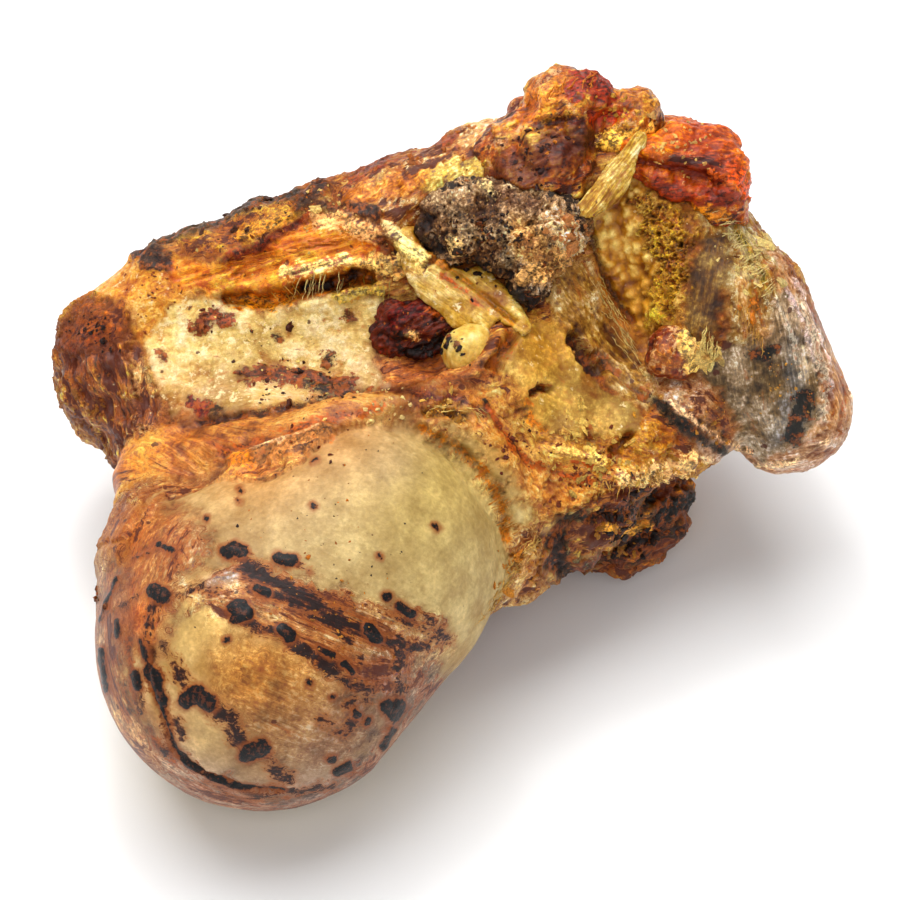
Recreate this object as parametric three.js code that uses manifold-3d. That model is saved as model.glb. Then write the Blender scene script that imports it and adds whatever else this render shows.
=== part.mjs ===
// A roasted knuckle bone, in millimetres, +Z up, lying as it rests on a flat surface, with the
// view from -Y. One end of a large leg bone: a smooth dome capped with cartilage at the front
// left, a second, roller-shaped condyle at the right, a rough ridge behind a shallow valley, and
// dried meat and fat that still cling to the top.
import * as THREE from 'three';
import { mergeVertices } from 'three/addons/utils/BufferGeometryUtils.js';
import { ImprovedNoise } from 'three/addons/math/ImprovedNoise.js';
import Module from 'manifold-3d';

const wasm = await Module();
wasm.setup();
const noise = new ImprovedNoise();

// Driving dimensions
const DOME_R = 30.5;          // radius of the big front dome
const DOME_NECK_R = 27;       // its radius where it runs into the body
const CONDYLE_R = 17;         // radius of the right condyle at its middle
const RIDGE_R = 9.5;          // radius of the rough ridge along the back
const BAND_R = 5;             // radius of the tendon band round the dome's upper edge
const BORDER_R = 4;           // radius of the groove along the condyle's inner border
const FLAP_THICK = 3.4;       // thickness of the flap of fat
const STRAP_THICK = 3.2;      // thickness of the strap of fat
const BLEND = 9;              // how softly one form of the bone runs into the next
const GAP = 0.35;             // space between two pieces that touch
const FLOOR_DEPTH = 20;       // thickness of the block that cuts the flat spots to rest on
const BONE_REACH = 120;       // farther from the bone's heart than any part of it
const LUMP_REACH = 40;        // the same for a lump of meat or fat
const BONE_DETAIL = 18;       // splits of each icosahedron edge, less one, for the bone
const BONE_ROUNDS = 70;       // rounds of evening out the bone's points
const LUMP_ROUNDS = 30;       // the same for a lump of meat or fat

const at = (x, y, z) => new THREE.Vector3(x, y, z);

// Fields. Each one is a function of a point: below zero inside the form, above zero outside.
function ovoid(centre, radii, turn = [0, 0, 0]) {
  const inverse = new THREE.Matrix4()
    .makeRotationFromEuler(new THREE.Euler(...turn.map(THREE.MathUtils.degToRad)))
    .setPosition(centre).invert();
  const q = new THREE.Vector3();
  return (p) => {
    q.copy(p).applyMatrix4(inverse);
    const near = Math.hypot(q.x / radii[0], q.y / radii[1], q.z / radii[2]);
    const steep = Math.hypot(q.x / radii[0] ** 2, q.y / radii[1] ** 2, q.z / radii[2] ** 2);
    return steep < 1e-9 ? -Math.min(...radii) : near * (near - 1) / steep;
  };
}

// A limb is a round bar along a smooth curve, with its own radius at each point.
function limb(stations, steps = 10) {
  const curve = new THREE.CatmullRomCurve3(stations.map((s) => s[0]), false, 'centripetal');
  const balls = [];
  for (let i = 0; i <= steps; i += 1) {
    const along = i / steps * (stations.length - 1);
    const k = Math.min(Math.floor(along), stations.length - 2);
    balls.push({
      c: curve.getPoint(i / steps),
      r: THREE.MathUtils.lerp(stations[k][1], stations[k + 1][1], along - k),
    });
  }
  const a = new THREE.Vector3();
  const b = new THREE.Vector3();
  return (p) => {
    let best = Infinity;
    for (let i = 0; i < steps; i += 1) {
      a.subVectors(p, balls[i].c);
      b.subVectors(balls[i + 1].c, balls[i].c);
      const t = THREE.MathUtils.clamp(a.dot(b) / b.lengthSq(), 0, 1);
      const r = THREE.MathUtils.lerp(balls[i].r, balls[i + 1].r, t);
      best = Math.min(best, a.addScaledVector(b, -t).length() - r);
    }
    return best;
  };
}

function softMin(a, b, k) {
  const h = Math.max(k - Math.abs(a - b), 0) / k;
  return Math.min(a, b) - h * h * k / 4;
}

const join = (fields, k = BLEND) => (p) => fields.reduce((d, f) => softMin(d, f(p), k), Infinity);
const hollow = (body, cut, k = BLEND) => (p) => -softMin(-body(p), cut(p), k);
const rough = (field, size, depth) => (p) => field(p)
  + depth * noise.noise(p.x / size + 9, p.y / size + 5, p.z / size + 3);

// The slope of a field, by small steps along each axis.
const STEP = 0.05;
function slope(field, p, here, out) {
  const { x, y, z } = p;
  p.x = x + STEP;
  out.x = (field(p) - here) / STEP;
  p.x = x;
  p.y = y + STEP;
  out.y = (field(p) - here) / STEP;
  p.y = y;
  p.z = z + STEP;
  out.z = (field(p) - here) / STEP;
  p.z = z;
  return out;
}

// The points that each point of a mesh shares an edge with.
function neighbours(index, count) {
  const near = Array.from({ length: count }, () => new Set());
  for (let i = 0; i < index.length; i += 3) {
    for (let k = 0; k < 3; k += 1) near[index[i + k]].add(index[i + (k + 1) % 3]);
  }
  return near.map((s) => [...s]);
}

// Draws an icosphere in onto a field's surface, as film is shrunk onto a form, then lets its
// points slide along the surface, each towards its farther neighbours, until they lie evenly.
const MOST_STEPS = 80;        // steps inwards before a point is left where it is
const STEP_SHARE = 0.8;       // share of the field's value that one step inwards covers
const SLIDE = 0.6;            // share of the way to its neighbours' middle that a point slides
const LEAST_SLOPE = 0.2;      // keeps a point from jumping where the field is nearly flat
function shrinkOn(field, heart, reach, detail, rounds) {
  const ball = new THREE.IcosahedronGeometry(1, detail);
  ball.deleteAttribute('normal');
  ball.deleteAttribute('uv');
  const skin = mergeVertices(ball, 1e-5);
  const spots = skin.attributes.position;
  const dir = new THREE.Vector3();
  const points = [];
  for (let i = 0; i < spots.count; i += 1) {
    dir.fromBufferAttribute(spots, i).normalize();
    const p = dir.clone().multiplyScalar(reach).add(heart);
    for (let n = 0, d = field(p); n < MOST_STEPS && d > STEP && p.distanceTo(heart) > 1; n += 1) {
      p.addScaledVector(dir, -Math.max(STEP_SHARE * d, STEP));
      d = field(p);
    }
    points.push(p);
  }
  const links = neighbours(skin.index.array, spots.count);
  const grad = new THREE.Vector3();
  const means = points.map(() => new THREE.Vector3());
  for (let round = 0; round < rounds; round += 1) {
    points.forEach((p, i) => {
      let weights = 0;
      means[i].set(0, 0, 0);
      links[i].forEach((j) => {
        const weight = p.distanceTo(points[j]);
        means[i].addScaledVector(points[j], weight);
        weights += weight;
      });
      means[i].divideScalar(weights);
    });
    points.forEach((p, i) => {
      p.lerp(means[i], SLIDE);
      for (let n = 0; n < 2; n += 1) {
        const d = field(p);
        slope(field, p, d, grad);
        p.addScaledVector(grad, -d / Math.max(grad.lengthSq(), LEAST_SLOPE));
      }
    });
  }
  points.forEach((p, i) => spots.setXYZ(i, p.x, p.y, p.z));
  return skin;
}

// A soft bar along a curve, with its own half width at each point, flattened to a thickness
// and rounded at both ends. Its flat faces look up and towards the view.
const BAR_UP = at(0, -0.6, 0.8);
const BAR_SIDES = 12;
const BAR_RINGS = 14;
const BAR_WAVE = 0.25;        // how much the bar's half width swells and shrinks
const BAR_WAVE_MM = 4;        // length of one such swelling
function bar(stations, thickness) {
  const ball = new THREE.SphereGeometry(1, BAR_SIDES, BAR_RINGS);
  ball.deleteAttribute('normal');
  ball.deleteAttribute('uv');
  const skin = mergeVertices(ball, 1e-5);
  const spots = skin.attributes.position;
  const curve = new THREE.CatmullRomCurve3(stations.map((s) => s[0]), false, 'centripetal');
  for (let i = 0; i < spots.count; i += 1) {
    const t = (1 - spots.getY(i)) / 2;
    const along = t * (stations.length - 1);
    const k = Math.min(Math.floor(along), stations.length - 2);
    const half = THREE.MathUtils.lerp(stations[k][1], stations[k + 1][1], along - k);
    const turn = Math.atan2(spots.getZ(i), spots.getX(i));
    const full = Math.sqrt(Math.hypot(spots.getX(i), spots.getZ(i)));
    const ahead = curve.getTangent(t);
    const across = new THREE.Vector3().crossVectors(ahead, BAR_UP).normalize();
    const out = new THREE.Vector3().crossVectors(ahead, across).normalize();
    const p = curve.getPoint(t);
    const q = p.clone().divideScalar(BAR_WAVE_MM);
    const wave = 1 + BAR_WAVE * noise.noise(q.x + Math.cos(turn), q.y, q.z + Math.sin(turn));
    p.addScaledVector(across, half * full * wave * Math.cos(turn));
    p.addScaledVector(out, thickness / 2 * full * wave * Math.sin(turn));
    spots.setXYZ(i, p.x, p.y, p.z);
  }
  return skin;
}

const solidOf = (geometry) => new wasm.Manifold(new wasm.Mesh({
  numProp: 3,
  vertProperties: new Float32Array(geometry.attributes.position.array),
  triVerts: new Uint32Array(geometry.index.array),
}));

function geometryOf(solid) {
  const mesh = solid.getMesh();
  return new THREE.BufferGeometry()
    .setAttribute('position', new THREE.BufferAttribute(mesh.vertProperties, 3))
    .setIndex(new THREE.BufferAttribute(mesh.triVerts, 1));
}

// A skin swollen by the gap, as a solid to cut its neighbours with.
function swollen(skin) {
  const geometry = skin.clone();
  geometry.computeVertexNormals();
  const spots = geometry.attributes.position;
  const out = geometry.attributes.normal;
  for (let i = 0; i < spots.count; i += 1) {
    spots.setXYZ(
      i,
      spots.getX(i) + GAP * out.getX(i),
      spots.getY(i) + GAP * out.getY(i),
      spots.getZ(i) + GAP * out.getZ(i),
    );
  }
  return solidOf(geometry);
}

// The main piece that is left of a lump once its neighbours are cut out of it.
function fitted(lump, cutters) {
  const cut = cutters.reduce((left, cutter) => left.subtract(cutter), lump);
  return cut.decompose().sort((a, b) => b.volume() - a.volume())[0];
}

// The bone: body, ridge, knob, dome, condyle, the short dark leg under the shelf, and the
// tendon band, with the valley, the pit and the slit under the ridge hollowed out of them.
function boneForm() {
  const core = ovoid(at(-10, 4, 36), [44, 28, 32]);
  const rear = ovoid(at(-10, 24, 29.5), [47, 23, 30.5]);
  const backLeft = ovoid(at(-38, 20, 31), [24, 22, 24]);
  const backRight = ovoid(at(20, 26, 38), [26, 24, 34]);
  const ridge = limb([
    [at(-64, 17, 43), 7.5], [at(-53, 21, 51.5), RIDGE_R], [at(-28.3, 26, 59.5), RIDGE_R],
    [at(-5.6, 30, 66), RIDGE_R + 1], [at(13.2, 34, 71), RIDGE_R], [at(30, 32, 71), RIDGE_R],
  ], 15);
  const knob = ovoid(at(-65, 14.5, 33), [10, 12, 15.5]);
  const neck = limb([[at(-54, 8, 36), 12], [at(-46, -17, 34), 12.5]], 2);
  const shelf = limb([[at(12, -13, 34), 14], [at(38, -1, 42), 12], [at(45, -4, 40), 8]], 4);
  const gusset = limb([[at(6, -26, 30), 10], [at(24, -14, 32), 9]], 2);
  const leg = ovoid(at(32.5, 1, 14), [14.5, 13, 16]);
  const body = rough(join([
    core, rear, backLeft, backRight, ridge, knob, neck, shelf, gusset, leg,
  ]), 8, 1.5);

  const dome = join([
    limb([[at(-34.5, -46.2, 29.5), DOME_R], [at(-18, -33, 36.5), DOME_NECK_R]], 2),
    ovoid(at(-54, -31, 33), [11, 15, 16]),
  ]);
  const condyle = join([
    limb([[at(39, 29, 65), 13], [at(51.5, 15.5, 51), CONDYLE_R], [at(63.5, 4.6, 38), 12.5]], 8),
    limb([[at(36, 34, 52), 15], [at(52, 24, 34), 15]], 2),
  ]);
  const band = limb([
    [at(-57, -14, 38), BAND_R], [at(-46, -15, 45), BAND_R], [at(-34, -18, 50.5), BAND_R],
    [at(-24, -18, 56), BAND_R], [at(-12, -15, 57.5), BAND_R], [at(0, -15, 55), BAND_R],
    [at(8, -19, 49), BAND_R], [at(13, -25, 38), BAND_R - 1], [at(13, -29, 27), BAND_R - 1],
  ], 24);
  const lobes = join([join([body, dome, condyle], 4), band], 3);

  const valley = ovoid(at(-30, 0, 66), [32, 13, 15]);
  const pit = ovoid(at(-5, 3, 66), [12, 10, 12]);
  const slit = limb([[at(-46, 16, 56), 3], [at(-30, 18, 60), 4], [at(-16, 17, 63), 3]], 6);
  const border = limb([
    [at(27, 13, 71), BORDER_R], [at(29, 11, 67.5), BORDER_R], [at(32, 7, 61.5), BORDER_R],
    [at(35, 3.5, 57.3), BORDER_R], [at(37, -6, 55.8), BORDER_R], [at(46, -12, 49), BORDER_R],
    [at(52.5, -12.5, 41.5), BORDER_R],
  ], 18);
  const hollows = [[valley, 8], [pit, 5], [slit, 3], [border, 3]];
  return rough(hollows.reduce((form, [cut, k]) => hollow(form, cut, k), lobes), 14, 1.2);
}

// Reddish lumps of dried meat on the top end of the ridge.
const crownForm = () => rough(join([
  limb([[at(10, 32, 74), 7], [at(32, 37, 74), 9]], 2),
  ovoid(at(22, 38, 83), [8, 8, 8]),
  ovoid(at(33.5, 37, 81), [6, 6, 7]),
  ovoid(at(19, 30, 80), [7.5, 7, 7]),
  ovoid(at(12, 31.5, 78), [7, 6, 7]),
  ovoid(at(18, 25, 78), [8, 6, 6]),
  ovoid(at(22, 44, 70), [13, 8, 13]),
], 3), 5, 2);

// A thick roll of dried meat between the crown and the condyle.
const rollForm = () => rough(join([
  ovoid(at(43.5, 32, 78), [6.5, 6, 6]),
  ovoid(at(49.5, 31, 76), [5.5, 6, 6.5]),
  ovoid(at(49.5, 26, 73.5), [6, 6, 8]),
  ovoid(at(41, 27, 77), [6, 5, 5]),
  limb([[at(35, 29, 79), 4.5], [at(44, 31, 75), 6], [at(50, 24, 70), 5]], 4),
  ovoid(at(42, 39, 70), [9, 7, 9]),
], 3), 5, 1.6);

// A charred, crumbly crust of meat that ends in a burnt point.
const charForm = () => rough(join([
  ovoid(at(5, 21, 71), [12, 8, 8]),
  ovoid(at(17, 20, 72), [9, 8, 8]),
  limb([[at(14, 15, 69), 6], [at(16, 7, 65), 3]], 2),
], 4), 5, 2.6);

// Dark red meat left in the pit beside the valley.
const pitForm = () => rough(ovoid(at(-6, 8, 55.5), [10, 7, 6], [20, 0, 0]), 5, 2);

// A round pearl of fat between the pit and the flap.
const pearlForm = () => rough(ovoid(at(3.8, -0.5, 59), [4.9, 4.6, 4.6]), 5, 0.4);

// A small knot of meat at the condyle's inner edge.
const knotForm = () => rough(join([
  ovoid(at(41, 1.5, 56), [4.8, 4.6, 5.2]),
  ovoid(at(46, 4, 58.5), [3, 2.4, 4]),
], 2), 4, 1);

// A folded flap of fat that hangs from the crust down to the pearl.
const flapBar = () => bar([
  [at(-9, 20.5, 70), 3], [at(-3, 13.5, 66.2), 5.6], [at(5, 7.5, 63.6), 6.4], [at(14, 0, 62.5), 4],
], FLAP_THICK);

// A strap of pale fat from the crust up between the crown and the roll.
const strapBar = () => bar([
  [at(22, 17, 76), 2.2], [at(28, 20.5, 78.5), 2.8], [at(32, 25, 81), 2.8], [at(36, 30, 86), 2],
], STRAP_THICK);

const floor = solidOf(mergeVertices(new THREE.BoxGeometry(400, 400, FLOOR_DEPTH)
  .translate(0, 0, -FLOOR_DEPTH / 2).deleteAttribute('normal').deleteAttribute('uv')));
const boneSkin = shrinkOn(boneForm(), at(-2, 0, 38), BONE_REACH, BONE_DETAIL, BONE_ROUNDS);
const bone = solidOf(boneSkin).subtract(floor).decompose()[0];

const part = new THREE.Group();
function add(name, solid, colour, roughness) {
  const mesh = new THREE.Mesh(
    geometryOf(solid),
    new THREE.MeshStandardMaterial({ color: colour, roughness, metalness: 0 }),
  );
  mesh.name = name;
  part.add(mesh);
}

// The lumps, in the order in which each is cut to fit those before it.
const drawn = (form, heart, detail) => shrinkOn(form(), heart, LUMP_REACH, detail, LUMP_ROUNDS);
const lumps = [
  ['charred_meat', drawn(charForm, at(11, 19, 71), 6), 0x3a2420],
  ['meat_crown', drawn(crownForm, at(22, 36, 78), 6), 0xa04a24],
  ['meat_roll', drawn(rollForm, at(45, 31, 75), 5), 0x96401c],
  ['pit_meat', drawn(pitForm, at(-6, 8, 55.5), 3), 0x4a1a12],
  ['fat_pearl', drawn(pearlForm, at(3.8, -0.5, 59), 2), 0xe8c468],
  ['fat_flap', flapBar(), 0xe6cf8a],
  ['meat_knot', drawn(knotForm, at(42, 2, 56), 2), 0xb86a48],
  ['fat_strap', strapBar(), 0xe8cf92],
];
add('knuckle_bone', bone, 0xdcc08a, 0.45);
const cutters = [swollen(boneSkin)];
lumps.forEach(([name, skin, colour]) => {
  add(name, fitted(solidOf(skin), cutters), colour, 0.55);
  cutters.push(swollen(skin));
});

// The origin is moved to the middle of the whole part's underside.
const box = new THREE.Box3().setFromObject(part);
const middle = box.getCenter(new THREE.Vector3());
part.position.set(-middle.x, -middle.y, -box.min.z);

export default part;
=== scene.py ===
# %% [markdown]
# A roasted knuckle bone is the end of a big leg bone after some hours in a hot oven: a smooth
# dome of cartilage, a roller-shaped joint, a ridge of dried tendon, and scraps of meat and fat.
# The plain solids of the part come in as a fixed frame, and every piece made here stands where
# one of them stands. All sizes below are in millimetres from the drawing's own zero point, which
# lies at ZERO in the frame, and only the last step of a mesh turns them into Blender's metres.

import bpy
import bmesh
import numpy as np
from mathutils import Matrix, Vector, noise
from mathutils.bvhtree import BVHTree


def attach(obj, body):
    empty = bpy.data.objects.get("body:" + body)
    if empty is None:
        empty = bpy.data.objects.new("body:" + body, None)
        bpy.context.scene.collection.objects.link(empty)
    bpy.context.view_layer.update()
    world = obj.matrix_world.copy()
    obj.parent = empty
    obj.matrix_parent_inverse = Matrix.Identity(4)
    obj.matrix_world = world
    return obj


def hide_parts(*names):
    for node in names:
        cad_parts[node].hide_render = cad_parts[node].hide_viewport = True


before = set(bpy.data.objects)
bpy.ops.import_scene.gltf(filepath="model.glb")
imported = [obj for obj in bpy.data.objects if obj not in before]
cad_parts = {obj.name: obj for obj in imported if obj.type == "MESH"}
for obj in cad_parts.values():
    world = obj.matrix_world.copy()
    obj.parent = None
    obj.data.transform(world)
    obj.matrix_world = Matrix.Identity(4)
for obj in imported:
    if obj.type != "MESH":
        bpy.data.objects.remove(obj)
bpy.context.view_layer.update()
MM = 0.001
ZERO = np.array([-0.0819, 12.0866, 0.0])


def solid(node):
    """The points, in mm from the drawing's zero point, and the triangles of one plain solid."""
    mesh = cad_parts[node].data
    mesh.calc_loop_triangles()
    points = np.array([vertex.co for vertex in mesh.vertices]) / MM - ZERO
    faces = np.array([triangle.vertices for triangle in mesh.loop_triangles])
    merged, where = np.unique(points.round(3), axis=0, return_inverse=True)
    faces = where.reshape(-1)[faces]
    whole = (faces[:, 0] != faces[:, 1]) & (faces[:, 1] != faces[:, 2]) & (faces[:, 2] != faces[:, 0])
    return merged, faces[whole]


bone_points, bone_faces = solid("knuckle_bone")
print("plain bone:", len(bone_points), "points,", len(bone_faces), "triangles")

# %% [markdown]
# Where the photo shows a stain, an edge or a hole, the script names its place as a pixel of the
# photo. A ray from the photo's viewpoint through that pixel meets the bone at one point, so the
# mark is fixed on the bone itself and stays there from every side. `pixels` goes the other way
# and tells which pixel a point of the mesh falls on, and `hidden` how far the point lies behind
# the first surface on its ray, which keeps the marks off the sides that the photo doesn't show.

# %% The photo's viewpoint
PHOTO_SIZE = 900
PHOTO_DISTANCE = 900.0
PHOTO_MM = 0.19
PHOTO_TILT = np.radians(50)
TARGET = np.array([0.0, 0.0, 30.0])
BACK = np.array([0.0, -np.cos(PHOTO_TILT), np.sin(PHOTO_TILT)])
RIGHT = np.array([1.0, 0.0, 0.0])
UP = np.cross(BACK, RIGHT)
EYE = TARGET + BACK * PHOTO_DISTANCE
FOCUS = PHOTO_DISTANCE / PHOTO_MM


def tree_of(points, faces):
    """A search tree that finds where a ray meets these triangles."""
    return BVHTree.FromPolygons(points.tolist(), faces.tolist())


def pixels(points):
    """The photo's pixel of each point."""
    arm = points - EYE
    depth = -(arm @ BACK)
    return np.stack([PHOTO_SIZE / 2 + FOCUS * (arm @ RIGHT) / depth,
                     PHOTO_SIZE / 2 - FOCUS * (arm @ UP) / depth], axis=1)


def under_pixel(tree, u, v):
    """The point and the normal of a surface under a pixel, or None beside it."""
    ray = -BACK * FOCUS + RIGHT * (u - PHOTO_SIZE / 2) + UP * (PHOTO_SIZE / 2 - v)
    place, normal = tree.ray_cast(Vector(EYE), Vector(ray).normalized())[:2]
    return None if place is None else (np.array(place), np.array(normal))


def hidden(points, tree):
    """How many mm each point lies behind the first surface that the photo shows there."""
    arms = points - EYE
    lengths = np.linalg.norm(arms, axis=1)
    eye = Vector(EYE)
    behind = np.zeros(len(points))
    for i, ray in enumerate((arms / lengths[:, None]).tolist()):
        reach = tree.ray_cast(eye, ray)[3]
        if reach is not None:
            behind[i] = max(0.0, lengths[i] - reach)
    return behind


bone_tree = tree_of(bone_points, bone_faces)


def on_bone(u, v):
    """The point of the bone under a pixel."""
    return under_pixel(bone_tree, u, v)[0]


print("middle of the dome:", on_bone(300, 560).round(1))

# %% [markdown]
# The forms of the bone are known as fat lines: a line through some points with a radius at each.
# The distance to such a line tells where the dome's cartilage or the tendon band lies, also on
# the sides that no photo shows. The same idea in the photo's plane gives the distance to a
# drawn stroke or outline.

# %% Distances
def step(low, high, value):
    """0 below low, 1 above high, and a smooth rise between them."""
    t = np.clip((value - low) / (high - low), 0.0, 1.0)
    return t * t * (3 - 2 * t)


def near_line(points, line):
    """Distance to a line of points, and how far along it the nearest place is, in its own unit."""
    line = np.array(line, float)
    if len(line) == 1:
        return np.linalg.norm(points - line[0], axis=1), np.zeros(len(points))
    best = np.full(len(points), 1e9)
    along = np.zeros(len(points))
    walked = 0.0
    for start, end in zip(line[:-1], line[1:]):
        span = end - start
        length = np.linalg.norm(span)
        t = np.clip((points - start) @ span / length ** 2, 0, 1)
        away = np.linalg.norm(points - start - t[:, None] * span, axis=1)
        closer = away < best
        best = np.where(closer, away, best)
        along = np.where(closer, walked + t * length, along)
        walked += length
    return best, along


def within(places, outline):
    """Distance to an outline in the photo's plane, above zero inside it."""
    outline = np.array(outline, float)
    edge = near_line(places, np.vstack([outline, outline[:1]]))[0]
    inside = np.zeros(len(places), bool)
    for (u0, v0), (u1, v1) in zip(outline, np.roll(outline, -1, axis=0)):
        crosses = (v0 > places[:, 1]) != (v1 > places[:, 1])
        inside ^= crosses & (places[:, 0] < (u1 - u0) * (places[:, 1] - v0) / (v1 - v0 + 1e-9) + u0)
    return np.where(inside, edge, -edge)


def round_line(points, line):
    """Distance to the surface of a fat line, below zero inside; each entry is x, y, z, radius."""
    line = np.array(line, float)
    best = np.full(len(points), 1e9)
    for start, end in zip(line[:-1], line[1:]):
        span = end[:3] - start[:3]
        t = np.clip((points - start[:3]) @ span / (span @ span), 0, 1)
        radius = start[3] + t * (end[3] - start[3])
        best = np.minimum(best, np.linalg.norm(points - start[:3] - t[:, None] * span, axis=1) - radius)
    return best


# %% [markdown]
# Dried tissue is rough at every scale: folds of some millimetres, threads under one, grains
# finer still. Blender's own noise gives all of it from three functions, one for soft lumps, one
# for threads, and one for the cells of fat and sponge.

# %% Roughness
def lumps(points, size, octaves=3, decay=1.0):
    """Lumps about as wide as size, from -1 to 1; a low decay keeps the small ones strong."""
    return np.array([noise.fractal(p, decay, 2.1, octaves) for p in (points / size).tolist()])


def threads(points, size, octaves=3):
    """Thin crests about size apart, 1 on a crest and below 0 between them."""
    return 1 - 2.6 * np.abs(lumps(points, size, octaves))


def cells(points, size):
    """Distance to the nearest bead's heart, in beads of that size."""
    return np.array([noise.voronoi(p)[0][0] for p in (points / size).tolist()])


# %% [markdown]
# A plain solid has a few thousand triangles, which is right for weight and contact but far too
# coarse to look at. Cutting every triangle alike wastes most of them on the underside. So an
# edge is cut only where it is longer than the place asks for, and a new point is lifted off the
# flat edge onto the round surface that the normals at both ends describe.

# %% Finer meshes
LIFT = 0.75


def normals_of(points, faces):
    """One unit normal for each point."""
    a, b, c = (points[faces[:, i]] for i in range(3))
    across = np.cross(b - a, c - a)
    total = np.zeros_like(points)
    for i in range(3):
        for axis in range(3):
            total[:, axis] += np.bincount(faces[:, i], across[:, axis], len(points))
    return total / (np.linalg.norm(total, axis=1, keepdims=True) + 1e-12)


def cut_long_edges(points, faces, longest):
    """Cuts each edge that is longer than longest(middle), and the triangles beside it."""
    normals = normals_of(points, faces)
    ends = np.sort(faces[:, [[0, 1], [1, 2], [2, 0]]], axis=2)
    edges, where = np.unique(ends[..., 0].astype(np.int64) * len(points) + ends[..., 1],
                             return_inverse=True)
    a, b = edges // len(points), edges % len(points)
    middle = (points[a] + points[b]) / 2
    long = np.linalg.norm(points[a] - points[b], axis=1) > longest(middle)
    lifted = [-((middle - points[end]) * normals[end]).sum(1)[:, None] * normals[end] for end in (a, b)]
    fresh = middle + LIFT * (lifted[0] + lifted[1]) / 2
    number = np.where(long, len(points) + np.cumsum(long) - 1, -1)
    marks = number[where.reshape(-1, 3)]
    count = (marks >= 0).sum(1)
    first = np.where(count == 1, marks.argmax(1), np.where(count == 2, (marks.argmin(1) + 1) % 3, 0))
    order = (first[:, None] + np.arange(3)) % 3
    a, b, c = np.take_along_axis(faces, order, 1).T
    m, n, o = np.take_along_axis(marks, order, 1).T
    patterns = {0: [(a, b, c)], 1: [(a, m, c), (m, b, c)], 2: [(m, b, n), (a, m, n), (a, n, c)],
                3: [(a, m, o), (m, b, n), (o, n, c), (m, n, o)]}
    made = [np.stack(corners, axis=1)[count == k] for k in patterns for corners in patterns[k]]
    return np.vstack([points, fresh[long]]), np.vstack(made)


def finer(points, faces, longest, rounds):
    """Several rounds of cutting."""
    for _ in range(rounds):
        points, faces = cut_long_edges(points, faces, longest)
    return points, faces


# %% [markdown]
# The dome of cartilage is a cap on a ball. Its edge, where the tendon band begins, is drawn as
# a few points round it: those on the near side are pixels of the photo, the others are guessed
# on the far side. Seen from the ball's middle, each point of the bone has a direction, and it
# belongs to the cap if it is nearer to the pole than the edge is on that side.

# %% The dome's cap
DOME = [(-34.5, -46.2, 29.5, 30.5), (-18, -33, 36.5, 27)]
DOME_MIDDLE = np.array([-27.0, -40.0, 32.0])
DOME_RADIUS = 31.0
NEAR_DOME = 9
OFF_THE_DOME = -30.0
DOME_POLE = np.array([-0.35, -0.9, -0.05])
DOME_POLE /= np.linalg.norm(DOME_POLE)
DOME_SIDE = np.cross(DOME_POLE, [0, 0, 1.0])
DOME_SIDE /= np.linalg.norm(DOME_SIDE)
DOME_EDGE_SEEN = [(120, 540), (150, 503), (174, 487), (214, 481), (260, 481), (303, 461), (340, 432),
                  (374, 423), (417, 426), (455, 446), (480, 466), (500, 497), (508, 530)]
DOME_EDGE_GUESSED = [(3, -42, 22), (-4, -30, 10), (-20, -18, 6), (-42, -18, 8), (-58, -24, 18)]


def round_the_pole(points):
    """The way round the dome's pole and the angle from it, both in radians."""
    arm = points - DOME_MIDDLE
    arm /= np.linalg.norm(arm, axis=1, keepdims=True)
    turn = np.arctan2(arm @ np.cross(DOME_POLE, DOME_SIDE), arm @ DOME_SIDE)
    return turn, np.arccos(np.clip(arm @ DOME_POLE, -1, 1))


dome_edge = np.array([on_bone(u, v) for u, v in DOME_EDGE_SEEN] + DOME_EDGE_GUESSED)
edge_turn, edge_angle = round_the_pole(dome_edge)


def dome_depth(points):
    """How many mm inside the edge of the cartilage cap each point is."""
    turn, angle = round_the_pole(points)
    order = np.argsort(edge_turn)
    limit = np.interp(turn, edge_turn[order], edge_angle[order], period=2 * np.pi)
    near = round_line(points, DOME) < NEAR_DOME
    return np.where(near, (limit - angle) * DOME_RADIUS, OFF_THE_DOME)


print("edge of the dome, degrees from its pole:", np.degrees(edge_angle).round().astype(int))

# %% [markdown]
# The bone's skin is cut to edges of under a millimetre where the photo looks, finer still in the
# spongy bone with its small beads, coarser on the smooth dome and coarsest on the sides that the
# photo doesn't show.

# %% The bone's skin
EDGE_DENSE = 0.72
EDGE_DOME = 1.15
EDGE_FAR = 2.6
EDGE_SPONGE = 0.42
DOME_FROM = 3
FAR_FROM = 5
CUTTING_ROUNDS = 4
SPONGE_SEEN = [(586, 195), (600, 180), (622, 168), (640, 180), (660, 205), (690, 215), (700, 235),
               (690, 265), (682, 300), (672, 325), (648, 335), (630, 325), (612, 290), (594, 250)]


def bone_edge(middle):
    """The longest edge that the place may have."""
    places = pixels(middle)
    behind = hidden(middle, bone_tree)
    depth = dome_depth(middle)
    size = np.where(depth > DOME_FROM, EDGE_DOME, EDGE_DENSE)
    size = np.where(within(places, SPONGE_SEEN) > 0, EDGE_SPONGE, size)
    return np.where(behind > FAR_FROM, EDGE_FAR, size)


skin, skin_faces = finer(bone_points, bone_faces, bone_edge, CUTTING_ROUNDS)
print("bone skin:", len(skin), "points,", len(skin_faces), "triangles")

# %% [markdown]
# Colours are written as sRGB hex values, as a paint program shows them. Blender works with
# linear values, so one function turns the first into the second.

# %% Colours
def linear(hex_colour):
    """An sRGB hex colour as the linear values that Blender works in."""
    values = np.array([int(hex_colour[i:i + 2], 16) for i in (1, 3, 5)]) / 255
    return np.where(values <= 0.04045, values / 12.92, ((values + 0.055) / 1.055) ** 2.4)


def rgba(hex_colour):
    """A hex colour for a colour socket."""
    return (*linear(hex_colour), 1.0)


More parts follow.
